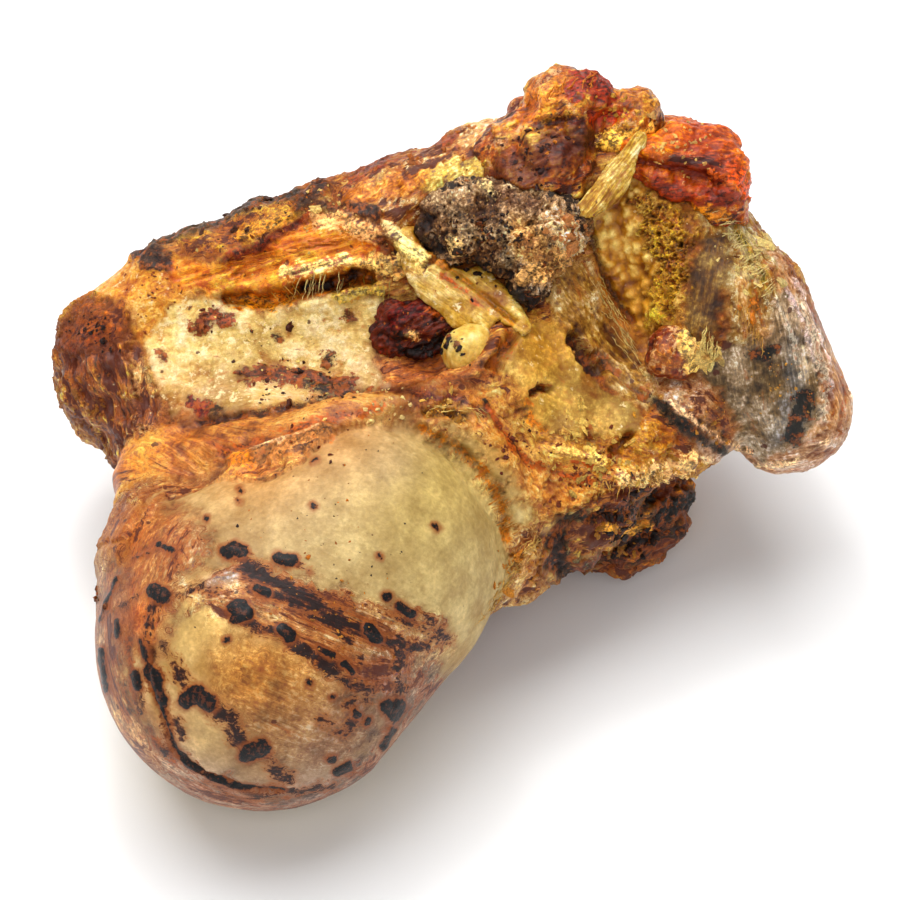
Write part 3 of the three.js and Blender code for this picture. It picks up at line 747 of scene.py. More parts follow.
BONE_MARKS = [
    # name, line of pixels, half width and edge in px, colour, height in mm, strength
    ("top scab", [(142, 250), (158, 262)], 13, 4, "#3a1c1c", 0.5, 0.95),
    ("dark rim", [(150, 243), (200, 228), (235, 212), (262, 200), (295, 193)], 6, 3, "#40302e", 0.2, 0.9),
    ("yellow core", [(242, 237), (265, 226), (290, 219)], 6, 3, "#c08c48", 0.3, 0.8),
    ("ridge scab", [(322, 188), (300, 208), (330, 206), (374, 212)], 8, 3, "#44241e", 0.7, 0.92),
    ("ridge brown line", [(225, 260), (262, 244), (298, 223), (316, 212)], 5, 3, "#742c20", 0.5, 0.85),
    ("pink patch", [(322, 224), (348, 222), (374, 234)], 9, 4, "#e2b088", 0.4, 0.8),
    ("cream strip", [(285, 273), (315, 268), (345, 260)], 6, 3, "#f0d09c", 0.6, 0.9),
    ("orange deep", [(250, 256), (300, 240), (350, 250)], 6, 5, "#b84410", 0.0, 0.6),
    ("crumbs", [(366, 262), (382, 268), (400, 262), (425, 268)], 9, 4, "#e4bc84", 0.9, 0.8),
    ("cream tooth", [(388, 228), (404, 238), (416, 248)], 7, 2, "#f2dcae", 1.3, 0.95),
    ("tooth shade", [(380, 240), (398, 254)], 4, 3, "#4a2418", -0.6, 0.85),
    ("yellow top", [(432, 182), (455, 170), (478, 168)], 12, 5, "#efcd78", 0.3, 0.8),
    ("top brown", [(350, 180), (400, 152), (450, 138)], 5, 4, "#743220", 0.2, 0.75),
    ("top orange", [(350, 200), (390, 188), (420, 178)], 9, 5, "#dc8428", 0.2, 0.7),
    ("pale ridge end", [(468, 140), (486, 130), (506, 124)], 9, 6, "#ecbc8c", 0.0, 0.6),
    # The slit is a real cavity. Its amber is partly painted shade inside it, and the dark band below its
    # upper edge is a painted shadow.
    ("slit", [(228, 299), (262, 300), (300, 291), (330, 284), (366, 277)], 7, 4, "#a06018", -4.2, 0.8),
    ("painted shadow in the slit", [(300, 292), (328, 283), (356, 275)], 5, 3, "#2c0e04", -2.5, 0.92),
    ("slit amber", [(234, 302), (262, 303), (286, 301)], 5, 4, "#c88a30", -0.3, 0.6),
    ("olive tissue", [(338, 298), (358, 291), (378, 290)], 6, 4, "#ac9458", 0.6, 0.75),
    ("brown scab", [(246, 376), (285, 374), (325, 382), (350, 384)], 9, 4, "#6a3018", 0.5, 0.88),
    ("black scab edge", [(305, 384), (325, 391), (348, 389)], 4, 2, "#1e1212", 0.3, 0.95),
    ("purple spot", [(205, 406), (216, 410)], 8, 4, "#2c1c20", 0.0, 0.9),
    ("wine spot", [(193, 403), (203, 409)], 8, 4, "#641418", 0.0, 0.8),
    ("blur below", [(185, 425), (215, 420), (245, 414)], 9, 8, "#66383c", 0.0, 0.6),
    ("scab a", [(325, 363), (330, 355)], 5, 2, "#281612", 0.4, 0.95),
    ("scab b", [(347, 313), (353, 320)], 5, 2, "#5e3022", 0.3, 0.9),
    ("scab c", [(200, 325), (215, 315), (226, 322)], 8, 4, "#743420", 0.4, 0.85),
    ("scab d", [(160, 352), (164, 358)], 4, 2, "#6a3826", 0.2, 0.8),
    ("scab e", [(274, 335), (279, 340)], 3, 2, "#42241a", 0.2, 0.9),
    # The near-black of the band's grooves is painted shade in the crease, over the tissue's brown.
    ("band groove", [(200, 424), (231, 420), (274, 412), (317, 399), (360, 391)], 4, 3, "#3e1a1a", -0.9,
     0.88),
    ("band groove right", [(360, 392), (403, 392), (455, 398), (484, 412)], 4, 3, "#5e2218", -0.5, 0.8),
    ("glossy strip", [(237, 464), (262, 458), (300, 447), (326, 434)], 8, 3, "#ac7858", 1.0, 0.85),
    ("amber strip end", [(233, 466), (252, 463)], 6, 3, "#c87c18", 0.2, 0.8),
    # A thin pale line along the top edge of the glossy strip: a painted highlight.
    ("painted highlight on the strip", [(255, 452), (285, 443), (318, 429)], 2.5, 2, "#dcb498", 0.3, 0.6),
    # A pale lavender-grey patch on the dome: a painted highlight.
    ("painted lavender highlight", [(206, 583), (222, 580), (232, 576)], 5, 5, "#b09c9c", 0.1, 0.6),
    ("grey stripe a", [(114, 570), (106, 592), (103, 612)], 2.5, 3, "#544450", 0.1, 0.75),
    ("grey stripe b", [(128, 640), (131, 662), (136, 700)], 4, 3, "#7c4428", 0.1, 0.75),
    ("rust at the crack", [(154, 742), (166, 750), (174, 758)], 5, 4, "#84401c", 0.2, 0.8),
    # A darker brown along the band's near side: painted shade.
    ("painted shade on the band's side", [(226, 452), (270, 440), (330, 420), (380, 408)], 4, 4, "#98501c", -0.3, 0.5),
    ("band hole", [(428, 414), (448, 408), (466, 414)], 7, 3, "#8c6228", -1.0, 0.8),
    # The dark middle of the band's hole is painted shade in the recess.
    ("painted shade in the band hole", [(449, 410), (453, 412)], 4, 2, "#3c140a", -1.8, 0.95),
    ("edge line", [(420, 428), (455, 446), (482, 470), (502, 505), (508, 540)], 3, 3, "#a8701e", -0.6, 0.75),
    ("black nub", [(484, 402), (487, 412)], 4, 2, "#14100f", 1.6, 0.95),
    # Below, the dark browns inside the holes, the slit, the crack and the chip are the tissue's own brown
    # deepened with painted shade in the recess.
    ("plate hole", [(535, 393), (541, 387), (549, 389)], 3.5, 1.5, "#5e2c10", -1.8, 0.95),
    ("plate side", [(530, 402), (532, 420), (545, 430)], 3, 4, "#b47226", -0.6, 0.6),
    ("torn hole", [(575, 338), (583, 352), (598, 368)], 7, 3, "#4a1e14", -2.6, 0.95),
    ("fibre crack", [(598, 352), (622, 378), (645, 398)], 3, 2, "#6c4220", -1.0, 0.8),
    ("olive recess", [(494, 366), (503, 350), (512, 338)], 7, 2, "#824a1c", -2.2, 0.92),
    ("shelf slit", [(612, 452), (622, 444), (630, 435)], 4, 2, "#5c2e10", -2.2, 0.92),
    ("shelf chip", [(588, 430), (592, 440)], 3, 2, "#703810", -1.0, 0.9),
    ("pale flap", [(624, 478), (655, 470), (690, 461)], 8, 3, "#e8c498", 0.9, 0.85),
    ("shelf brown seam", [(488, 410), (512, 445), (533, 464), (587, 483)], 4, 4, "#94480f", -0.4, 0.4),
    ("shelf brown twig", [(540, 470), (575, 462), (604, 470)], 2.5, 3, "#94440e", -0.3, 0.8),
    ("shelf cream lump", [(560, 448), (590, 456), (606, 460)], 5, 3, "#ecc888", 0.8, 0.7),
    ("leg slate", [(656, 514), (672, 506), (690, 499)], 9, 3, "#14141a", 0.4, 0.92),
    # The black band just under the shelf's torn edge is the leg's dark brown deepened with a painted shadow
    # under the overhang.
    ("leg black", [(560, 520), (600, 516), (640, 510), (655, 492)], 5, 4, "#120a0a", -0.6, 0.9),
    ("leg wine", [(553, 560), (558, 540), (566, 575)], 9, 4, "#280c0a", -1.0, 0.92),
    ("leg low", [(580, 562), (600, 558), (620, 556)], 6, 3, "#582a10", 0.5, 0.75),
    ("leg low dark", [(620, 545), (650, 540), (675, 528)], 6, 4, "#2c140e", 0.0, 0.85),
    ("leg flecks", [(600, 528), (625, 532), (648, 524)], 3, 4, "#c49450", 0.5, 0.7),
    ("condyle black a", [(754, 352), (764, 356), (772, 350)], 8, 3, "#101014", 0.1, 0.95),
    ("condyle black b", [(806, 398), (801, 418), (792, 436)], 10, 4, "#121216", 0.1, 0.94),
    # A soft grey-blue patch on the cartilage: a painted sheen.
    ("painted blue sheen on the condyle", [(790, 350), (796, 390), (776, 440)], 7, 8, "#8c94a4", 0.0, 0.4),
    ("condyle pale", [(800, 305), (816, 345), (826, 385), (822, 425)], 4, 4, "#d0beb4", 0.3, 0.75),
    ("lilac line a", [(786, 288), (803, 322), (812, 360)], 1.6, 1.5, "#dcc8cc", 0.3, 0.85),
    ("lilac line b", [(794, 280), (814, 318), (828, 362), (832, 398)], 1.4, 1.5, "#e4cccc", 0.4, 0.85),
    ("lilac line c", [(776, 300), (794, 340), (800, 376)], 1.4, 1.5, "#b4aaa8", 0.2, 0.8),
    ("rim brown line", [(806, 300), (834, 345), (846, 392), (838, 430)], 2.2, 2, "#94502c", -0.3, 0.7),
    ("rim pale line", [(815, 300), (846, 352), (852, 400)], 1.6, 1.5, "#ecd4c0", 0.3, 0.8),
    ("foot pale line", [(700, 458), (745, 468), (792, 462), (828, 440)], 1.6, 1.5, "#e8ccb0", 0.3, 0.8),
    ("fuzzy orange", [(742, 286), (750, 314), (758, 334)], 6, 8, "#b87830", 0.5, 0.7),
    ("fuzzy olive", [(735, 230), (755, 258), (768, 290)], 4, 4, "#98844c", 0.2, 0.7),
    ("condyle line", [(668, 402), (690, 418), (722, 440), (748, 452)], 1.8, 1.5, "#e2bea4", 0.6, 0.85),
    ("condyle dark edge", [(655, 400), (676, 420), (702, 438), (722, 450)], 6, 3, "#1e1e22", 0.0, 0.94),
    # The dark brown of this groove at the edge of the sponge is painted shade in the crease.
    ("condyle groove", [(584, 195), (592, 240), (606, 280), (632, 322)], 3, 3, "#52300f", -1.4, 0.8),
    ("dome crack", [(151, 650), (149, 682), (160, 714), (176, 750), (205, 774), (242, 787), (280, 790)],
     2.2, 1.5, "#181012", -0.8, 0.95),
]
dress.tints(BONE_TINTS)
dress.marks(BONE_MARKS)
print(len(BONE_TINTS), "tints and", len(BONE_MARKS), "marks")

# %% [markdown]
# The burnt drops and streaks on the dome need a crisp edge that follows fine threads, finer
# than the mesh. So the mesh carries only how deep inside a mark each point is, in millimetres,
# and the material decides with its own noise where the mark begins.

# %% Burnt marks on the dome
CHAR_DROPS = [
    # line of pixels, half width in px
    ([(226, 553), (235, 549), (243, 554)], 6.5), ([(280, 558), (291, 561)], 6.5),
    ([(154, 591), (164, 596)], 8), ([(232, 609), (241, 606), (236, 618), (247, 612)], 7),
    ([(187, 700), (198, 693), (209, 705)], 8.5), ([(245, 754), (254, 749), (264, 746)], 7.5),
    ([(136, 673), (138, 688)], 4), ([(329, 757), (333, 759)], 4), ([(337, 770), (347, 766)], 5),
    ([(387, 706), (394, 716), (400, 705)], 7), ([(385, 596), (389, 598)], 4),
    ([(399, 606), (413, 614)], 4.5), ([(369, 629), (379, 640)], 6), ([(354, 711), (358, 715)], 3.5),
    ([(309, 681), (310, 683)], 3.5), ([(151, 672), (156, 684), (162, 700)], 7.5),
    ([(131, 558), (148, 554)], 1.8), ([(158, 544), (172, 550)], 2.2), ([(116, 622), (117, 636)], 3),
    ([(101, 650), (104, 668), (106, 690)], 3.5), ([(113, 578), (104, 600), (98, 620)], 2.6),
    ([(369, 721), (367, 723)], 3), ([(312, 503), (314, 506)], 3), ([(435, 526), (437, 529)], 2.5),
    ([(316, 460), (312, 463)], 2), ([(240, 490), (241, 491)], 2), ([(206, 515), (206, 519)], 1.2),
    ([(238, 500), (239, 501)], 1.5), ([(380, 556), (381, 557)], 2), ([(309, 571), (310, 572)], 1.5),
    ([(332, 697), (333, 697)], 1.5), ([(261, 669), (262, 670)], 1.6), ([(225, 641), (229, 639)], 2),
    ([(282, 630), (290, 636)], 6), ([(318, 648), (332, 655)], 2.5), ([(345, 663), (352, 672)], 3.5),
    ([(392, 730), (384, 748)], 3.5), ([(140, 639), (146, 661), (159, 698)], 2.5),
    ([(159, 698), (167, 722), (175, 746)], 3), ([(175, 746), (189, 765), (210, 779)], 3),
    ([(210, 779), (231, 787), (282, 788)], 2.5), ([(256, 588), (266, 592)], 4),
]
STREAKS = [
    ([(245, 562), (264, 578), (290, 588), (317, 607), (344, 620), (368, 631)], 7.5),
    ([(368, 631), (395, 648), (405, 666)], 5), ([(247, 620), (262, 626), (286, 633), (302, 648)], 6),
    ([(302, 648), (322, 665), (345, 680), (366, 690)], 6), ([(301, 604), (340, 634), (362, 660)], 3),
    ([(166, 594), (185, 593), (200, 588), (220, 587)], 3.5), ([(250, 588), (275, 594), (301, 604)], 4.5),
    ([(162, 645), (172, 660), (186, 690)], 3.5), ([(212, 709), (230, 720), (240, 738)], 7.5),
    ([(296, 640), (330, 662), (350, 676)], 2.5), ([(390, 640), (424, 650), (440, 636)], 5),
    ([(400, 618), (424, 634), (444, 640)], 4), ([(138, 690), (141, 712)], 3),
    ([(400, 655), (402, 690), (396, 704)], 4), ([(346, 706), (366, 700)], 3),
    ([(292, 563), (300, 566)], 3), ([(418, 616), (438, 626)], 3), ([(148, 608), (162, 600)], 4),
    ([(262, 752), (275, 766), (290, 776)], 4), ([(210, 784), (262, 796), (330, 786)], 3),
    ([(150, 655), (158, 690), (168, 728)], 6), ([(177, 722), (183, 734)], 4),
    ([(120, 606), (130, 598), (140, 592)], 2.5), ([(160, 747), (166, 752)], 5),
    ([(318, 720), (340, 732), (358, 722)], 2), ([(148, 618), (144, 640)], 4),
]
scorch = dress.stroke_depth(CHAR_DROPS)
stain = dress.stroke_depth(STREAKS)
burnt_height = 0.5 * step(-0.3, 0.9, scorch + 0.5 * dress.ragged) + 0.15 * step(0, 1, stain)
print("burnt drops:", len(CHAR_DROPS), "streaks:", len(STREAKS))

# %% [markdown]
# Last on the skin, the shapes that are larger than relief: the cartilage is pressed onto its
# true round form, the band stands a little above it with a groove between, and everything fades
# out towards the table so that the bone rests on the same flat spots as the plain solid.

# %% Shape of the skin
MOST_PRESSED = 1.6
GROOVE_DEPTH = 0.5
GROOVE_WIDTH = 0.8
LIP_HEIGHT = 0.8
FULL_RELIEF_FROM = 3.0

round_off = round_line(skin, DOME)
press = -np.clip(round_off, -MOST_PRESSED, MOST_PRESSED) * 0.75 * step(1.0, 5.0, cap_depth)
groove = -GROOVE_DEPTH * np.exp(-(cap_depth / GROOVE_WIDTH) ** 2) * (band_share + cap_share > 0.3)
lip = LIP_HEIGHT * band_share * step(0.0, -2.0, cap_depth)
lift = (dress.relief + burnt_height + press + groove + lip) * step(0.0, FULL_RELIEF_FROM, skin[:, 2])
lift = np.clip(lift, DEEPEST, HIGHEST)
print("skin moved by", lift.min().round(2), "to", lift.max().round(2), "mm")

# %% [markdown]
# Every piece ends the same way: its points go from the drawing's millimetres to the frame's
# metres, the fields that its material reads go onto the mesh, it rides on the root, and the
# plain solid that it stands for is hidden. The list `laid` remembers each surface, as crumbs will
# lie on it later.

# %% Turning points into pieces
laid = []


def piece(name, points, faces, node, material, fields=None):
    """A mesh in metres that rides on the root and stands for one plain solid."""
    laid.append((points, faces))
    mesh = bpy.data.meshes.new(name)
    mesh.from_pydata(((points + ZERO) * MM).tolist(), [], faces.tolist())
    mesh.shade_smooth()
    for key, values in (fields or {}).items():
        flat = values.ndim == 1
        layer = mesh.attributes.new(key, "FLOAT" if flat else "FLOAT_VECTOR", "POINT")
        layer.data.foreach_set("value" if flat else "vector", values.astype(np.float32).ravel())
    mesh.materials.append(material)
    thing = bpy.data.objects.new(name, mesh)
    bpy.context.collection.objects.link(thing)
    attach(thing, "root")
    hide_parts(node)
    print(name, "has", len(faces), "triangles")
    return thing


# %% [markdown]
# A material starts as an empty node tree with a Principled shader. One small function adds a
# node, sets its values and connects what feeds it, so each material below reads as a list of
# what lies on what.

# %% Nodes
def add(tree, kind, values=None, links=None, **settings):
    """Adds one node; values are for its sockets, links come from other sockets."""
    node = tree.nodes.new(kind)
    for key, value in settings.items():
        setattr(node, key, value)
    for key, value in (values or {}).items():
        node.inputs[key].default_value = value
    for key, socket in (links or {}).items():
        tree.links.new(socket, node.inputs[key])
    return node


def new_material(name, values):
    """A material with a Principled shader set to these values; returns it, its tree and shader."""
    material = bpy.data.materials.new(name)
    material.use_nodes = True
    shader = material.node_tree.nodes["Principled BSDF"]
    for key, value in values.items():
        shader.inputs[key].default_value = value
    return material, material.node_tree, shader


# %% [markdown]
# Roasted connective tissue (cartilage, tendon and bone membrane) was never shaped by a tool:
# it shrank, dried and soaked up its own fat. The eye gets a waxy body that lets some light in,
# fine threads, and a thin greasy film that glints on every crest. Wet tissue has an IOR of
# about 1.4 and grease 1.46, so the drying body gets 1.45 and the film 1.46.
#
# Five noises give the rest. Two are read along the threads: fine ones about half a millimetre
# apart, and patches of some millimetres. Three lie in the piece itself: grains 0.8 mm apart,
# curds of fat 2.2 mm and blots of juice 3 mm, each with finer ones inside it.

# %% Noises of tissue
GRAINS_PER_METRE = 1300
CURDS_PER_METRE = 450
BLOTS_PER_METRE = 330
NOISES = {
    # name: what it is read from, scale, detail, roughness, distortion
    "patches": ("grain", 0.5, 9, 0.75, 0.5),
    "fine": ("grain", 3.0, 6, 0.62, 0.0),
    "curds": ("place", CURDS_PER_METRE, 8, 0.78, 0.0),
    "grains": ("place", GRAINS_PER_METRE, 4, 0.65, 0.0),
    "blots": ("place", BLOTS_PER_METRE, 6, 0.6, 0.0),
}


def read_mesh(tree):
    """What the mesh carries, as sockets: colours and places as vectors, amounts as numbers."""
    read = {key: add(tree, "ShaderNodeAttribute", attribute_name=key).outputs["Vector"]
            for key in ("paint", "deep", "crest", "grain", "spot_paint")}
    for key in PASSED_ON:
        read[key] = add(tree, "ShaderNodeAttribute", attribute_name=key).outputs["Fac"]
    read["place"] = add(tree, "ShaderNodeTexCoord").outputs["Object"]
    return read


def tissue_noises(tree, read):
    """The height of each noise, as a socket."""
    made = {}
    for name, (source, scale, detail, roughness, distortion) in NOISES.items():
        made[name] = add(tree, "ShaderNodeTexNoise",
                         {"Scale": scale, "Detail": detail, "Roughness": roughness,
                          "Distortion": distortion}, {"Vector": read[source]}).outputs["Fac"]
    return made


# %% [markdown]
# Two helpers lay colour on colour. `cover` mixes a colour in as some value rises, and `pushed`
# frays an edge: the mesh says how deep inside a mark a point lies, in millimetres, and noises
# push that depth up and down before it picks the colour.

# %% Layers of colour
def cover(tree, over, value, low, high, most, below, amount=None):
    """Lays a hex colour or a socket over what lies below, from none at low to most at high."""
    share = add(tree, "ShaderNodeMapRange", {"From Min": low, "From Max": high, "To Max": most},
                {"Value": value}).outputs[0]
    if amount is not None:
        share = add(tree, "ShaderNodeMath", links={0: share, 1: amount}, operation="MULTIPLY",
                    use_clamp=True).outputs[0]
    links = {0: share, 6: below}
    values = {}
    if isinstance(over, str):
        values[7] = rgba(over)
    else:
        links[7] = over
    return add(tree, "ShaderNodeMix", values, links, data_type="RGBA").outputs[2]


def pushed(tree, depth, *pushes):
    """A depth attribute in mm, moved by noises; each push is a socket and its strength in mm."""
    value = add(tree, "ShaderNodeAttribute", attribute_name=depth).outputs["Fac"]
    for socket, strength in pushes:
        centred = add(tree, "ShaderNodeMath", {1: 0.5}, {0: socket}, operation="SUBTRACT").outputs[0]
        value = add(tree, "ShaderNodeMath", {1: strength}, {0: centred, 2: value},
                    operation="MULTIPLY_ADD").outputs[0]
    return value


# %% [markdown]
# The body starts from the colour that the mesh carries. Threads and grains make it lighter and
# darker with the same noises that raise the bumps, and where all the noises run low or high
# together the deep or the crest colour shows: painted shade in the bumps' hollows and painted
# highlight on their tops.

# %% Threads and grains
def tissue_body(tree, read, noise):
    """The colour with its threads and grains, the height of the threads, and the speckle."""
    centred = add(tree, "ShaderNodeMapRange",
                  {"From Min": 0.3, "From Max": 0.7, "To Min": -0.7, "To Max": 0.5},
                  {"Value": noise["fine"]}).outputs[0]
    streaks = add(tree, "ShaderNodeMath", {2: 1.0}, {0: centred, 1: read["streaky"]},
                  operation="MULTIPLY_ADD").outputs[0]
    grain_tone = add(tree, "ShaderNodeMapRange",
                     {"From Min": 0.3, "From Max": 0.7, "To Min": 0.82, "To Max": 1.14},
                     {"Value": noise["grains"]}).outputs[0]
    light = add(tree, "ShaderNodeMath", links={0: streaks, 1: grain_tone}, operation="MULTIPLY")
    colour = add(tree, "ShaderNodeVectorMath", links={0: read["paint"], "Scale": light.outputs[0]},
                 operation="SCALE").outputs[0]
    speckle = add(tree, "ShaderNodeMath", links={0: noise["fine"], 1: noise["curds"]}, operation="ADD")
    speckle = add(tree, "ShaderNodeMath", links={0: speckle.outputs[0], 1: noise["grains"]},
                  operation="ADD").outputs[0]
    # The deep colour in the low places of the bumps is painted shade, the crest colour on the high ones
    # painted highlight.
    for layer, start, end in (("deep", 1.46, 1.28), ("crest", 1.54, 1.72)):
        colour = cover(tree, read[layer], speckle, start, end, 1.5, colour, read["streaky"])
    return colour, streaks, speckle


# %% [markdown]
# Roasting browns in flecks, each with a darker core, and leaves dried fat in cream flecks. Specks
# of burnt juice, about a millimetre across, sit where the blots allow them, and thin dark lines
# run along the threads.

# %% Browning
SPECKS_PER_METRE = 260
FLECK_LEVEL = 0.79
FLECK_REACH = 0.6
HALO_LEVEL = FLECK_LEVEL - 0.08
MIDDLE_HEIGHT = 0.52


def flecks(tree, amount, height, colour, most, edge, below, level=FLECK_LEVEL):
    """Lays a colour wherever a noise, helped by the amount, rises above a level."""
    risen = add(tree, "ShaderNodeMath", {1: FLECK_REACH}, {0: amount, 2: height},
                operation="MULTIPLY_ADD").outputs[0]
    return cover(tree, colour, risen, level, level + edge, most, below)


def browned(tree, read, noise, halo, core, fleck, colour):
    """Brown and cream flecks, dark specks, and thin dark lines along the threads."""
    colour = flecks(tree, read["brown"], noise["patches"], halo, 0.7, 0.09, colour, HALO_LEVEL)
    colour = flecks(tree, read["cream"], noise["curds"], fleck, 0.8, 0.03, colour)
    colour = flecks(tree, read["brown"], noise["patches"], core, 0.92, 0.03, colour)
    specks = add(tree, "ShaderNodeTexVoronoi", {"Scale": SPECKS_PER_METRE}, {"Vector": read["place"]})
    room = add(tree, "ShaderNodeMapRange", {"From Min": 0.45, "From Max": 0.75, "To Max": 0.6},
               {"Value": noise["blots"]})
    size = add(tree, "ShaderNodeMath", links={0: room.outputs[0], 1: read["dark"]}, operation="MULTIPLY")
    inside = add(tree, "ShaderNodeMath", links={0: size.outputs[0], 1: specks.outputs["Distance"]},
                 operation="SUBTRACT")
    colour = cover(tree, core, inside.outputs[0], 0.0, 0.04, 0.85, colour)
    from_middle = add(tree, "ShaderNodeMath", {1: MIDDLE_HEIGHT}, {0: noise["fine"]}, operation="SUBTRACT")
    thin = add(tree, "ShaderNodeMath", links={0: from_middle.outputs[0]}, operation="ABSOLUTE")
    return cover(tree, core, thin.outputs[0], 0.024, 0.004, 1.6, colour, read["brown"])


# %% [markdown]
# The narrow marks of the tables (scabs, holes, lines) get their edge here rather than from the
# mesh. Their colour runs from nearly black to twice as light with the height of the bumps, painted
# shade where they lie low and painted highlight where they stand high, with a few brown embers in it.

# %% Crisp marks
def crisp_marks(tree, read, noise, speckle, halo, colour):
    """Lays the narrow marks, with edges that the noises fray."""
    depth = pushed(tree, "spot", (noise["patches"], 4.5), (noise["curds"], 5.0), (noise["fine"], 2.5),
                   (noise["grains"], 2.5))
    light = add(tree, "ShaderNodeMapRange",
                {"From Min": 1.36, "From Max": 1.64, "To Min": 0.2, "To Max": 2.2}, {"Value": speckle})
    toned = add(tree, "ShaderNodeVectorMath", links={0: read["spot_paint"], "Scale": light.outputs[0]},
                operation="SCALE").outputs[0]
    embers = cover(tree, halo, noise["curds"], 0.52, 0.58, 0.6, toned)
    return cover(tree, embers, depth, -0.12, 0.28, 0.95, colour)


# %% [markdown]
# Now the layers come together in one material for all tissue. Glossy places get a smoother body
# and more of the greasy film. Three bumps give the finest relief: the threads, the curds and the
# grains. A scrap of meat or fat is the same stuff with other colours and another softness.

# %% Roasted tissue
TISSUE_IOR = 1.45
GREASE = {"Coat Roughness": 0.11, "Coat IOR": 1.46}
SOFT_SHEEN = 0.2
FLESH_DEPTH = 0.0015
FLESH_RADIUS = (0.9, 0.5, 0.24)
SMOOTHER = 0.25
FILM = {"To Min": 0.02, "To Max": 0.38}


def tissue_material(name, roughness, subsurface, halo="#b85a10", core="#4c1a0c", fleck="#f8e0a8"):
    """Painted tissue with threads, grains and specks, ready for burnt marks on top."""
    material, tree, shader = new_material(name, {
        "IOR": TISSUE_IOR, **GREASE, "Specular IOR Level": SOFT_SHEEN, "Subsurface Weight": subsurface,
        "Subsurface Scale": FLESH_DEPTH, "Subsurface Radius": FLESH_RADIUS})
    read = read_mesh(tree)
    noise = tissue_noises(tree, read)
    colour, streaks, speckle = tissue_body(tree, read, noise)
    colour = browned(tree, read, noise, halo, core, fleck, colour)
    colour = crisp_marks(tree, read, noise, speckle, halo, colour)
    shine = add(tree, "ShaderNodeMapRange", {"To Min": roughness, "To Max": roughness - SMOOTHER},
                {"Value": read["gloss"]}).outputs[0]
    film = add(tree, "ShaderNodeMapRange", FILM, {"Value": read["gloss"]}).outputs[0]
    below = {}
    for height, strength, distance in ((streaks, 0.5, 0.0003), (noise["curds"], 0.3, 0.0008),
                                       (noise["grains"], 0.35, 0.00012)):
        bump = add(tree, "ShaderNodeBump", {"Strength": strength, "Distance": distance},
                   {"Height": height, **below})
        below = {"Normal": bump.outputs["Normal"]}
    for socket, source in (("Base Color", colour), ("Roughness", shine), ("Coat Weight", film),
                           ("Normal", below["Normal"]), ("Coat Normal", below["Normal"])):
        tree.links.new(source, shader.inputs[socket])
    return material, tree, shader, {"colour": colour, **noise}


# %% [markdown]
# On the bone the burnt drops and streaks lie over that tissue. The noises push the edge of a
# streak in or out by a millimetre or two, mostly along the threads, and leave a drop rounder.
# A streak goes from amber over brown to black. Round a burnt drop the tissue is brown, and the
# drop itself is nearly black char with brown grains in its middle.

# %% Tissue with burnt marks
tissue, tree, shader, parts = tissue_material("roasted connective tissue", 0.6, 0.2)
stain_depth = pushed(tree, "stain", (parts["fine"], 5.0), (parts["patches"], 7.0), (parts["blots"], 5.0),
                     (parts["grains"], 2.5))
scorch_depth = pushed(tree, "scorch", (parts["blots"], 2.4), (parts["grains"], 0.5))
glow_depth = pushed(tree, "scorch", (parts["grains"], 12.0), (parts["fine"], 6.0))
BURNT_LAYERS = [
    # colour, depth, where it begins and where it is full in mm, how much of it
    ("#a85c1c", stain_depth, -1.2, 0.0, 0.65), ("#42190e", stain_depth, -0.1, 0.3, 0.94),
    ("#160908", stain_depth, 0.5, 0.9, 0.88), ("#8c4414", scorch_depth, -0.9, 0.0, 0.9),
    ("#060506", scorch_depth, -0.05, 0.15, 1.0), ("#5c2c14", glow_depth, 1.2, 1.9, 0.8),
]
burnt_colour = parts["colour"]
for layer_colour, depth, low, high, most in BURNT_LAYERS:
    burnt_colour = cover(tree, layer_colour, depth, low, high, most, burnt_colour)
tree.links.new(burnt_colour, shader.inputs["Base Color"])

piece("bone_skin", dress.moved(lift), skin_faces, "knuckle_bone", tissue,
      dress.fields(scorch=scorch, stain=stain))

# %% [markdown]
# The scraps of meat and fat are lumps with a life of their own. Each plain solid is filled with
# small even faces by a voxel remesh, which also joins added blobs into it, then swollen a little
# so that it sinks into the bone, and roughened with its own relief.

# %% Lumps from solids
SMOOTHING_ROUNDS = 3


def even(points, faces, size, extra=()):
    """The same form with even faces; extra blobs (x, y, z, radius) are joined to it."""
    mesh = bpy.data.meshes.new("lump")
    mesh.from_pydata((points * MM).tolist(), [], faces.tolist())
    form = bmesh.new()
    form.from_mesh(mesh)
    for x, y, z, radius in extra:
        ball = bmesh.ops.create_icosphere(form, subdivisions=3, radius=radius * MM)
        bmesh.ops.translate(form, verts=ball["verts"], vec=(x * MM, y * MM, z * MM))
    form.to_mesh(mesh)
    form.free()
    thing = bpy.data.objects.new("lump", mesh)
    bpy.context.collection.objects.link(thing)
    remesh = thing.modifiers.new("even", "REMESH")
    remesh.mode = "VOXEL"
    remesh.voxel_size = size * MM
    bpy.context.view_layer.update()
    done = thing.evaluated_get(bpy.context.evaluated_depsgraph_get()).to_mesh()
    done.calc_loop_triangles()
    new_points = np.array([vertex.co for vertex in done.vertices]) / MM
    new_faces = np.array([triangle.vertices for triangle in done.loop_triangles])
    bpy.data.objects.remove(thing)
    bpy.data.meshes.remove(mesh)
    return new_points, new_faces


def smoothed(values, faces, rounds):
    """Values averaged with their neighbours, some rounds over."""
    sides = np.vstack([faces[:, [0, 1]], faces[:, [1, 2]], faces[:, [2, 0]]])
    sides = np.vstack([sides, sides[:, ::-1]])
    count = np.bincount(sides[:, 0], minlength=len(values))
    for _ in range(rounds):
        total = np.stack([np.bincount(sides[:, 0], column[sides[:, 1]], len(values))
                          for column in values.T], 1)
        values = (values + total) / (count + 1)[:, None]
    return values


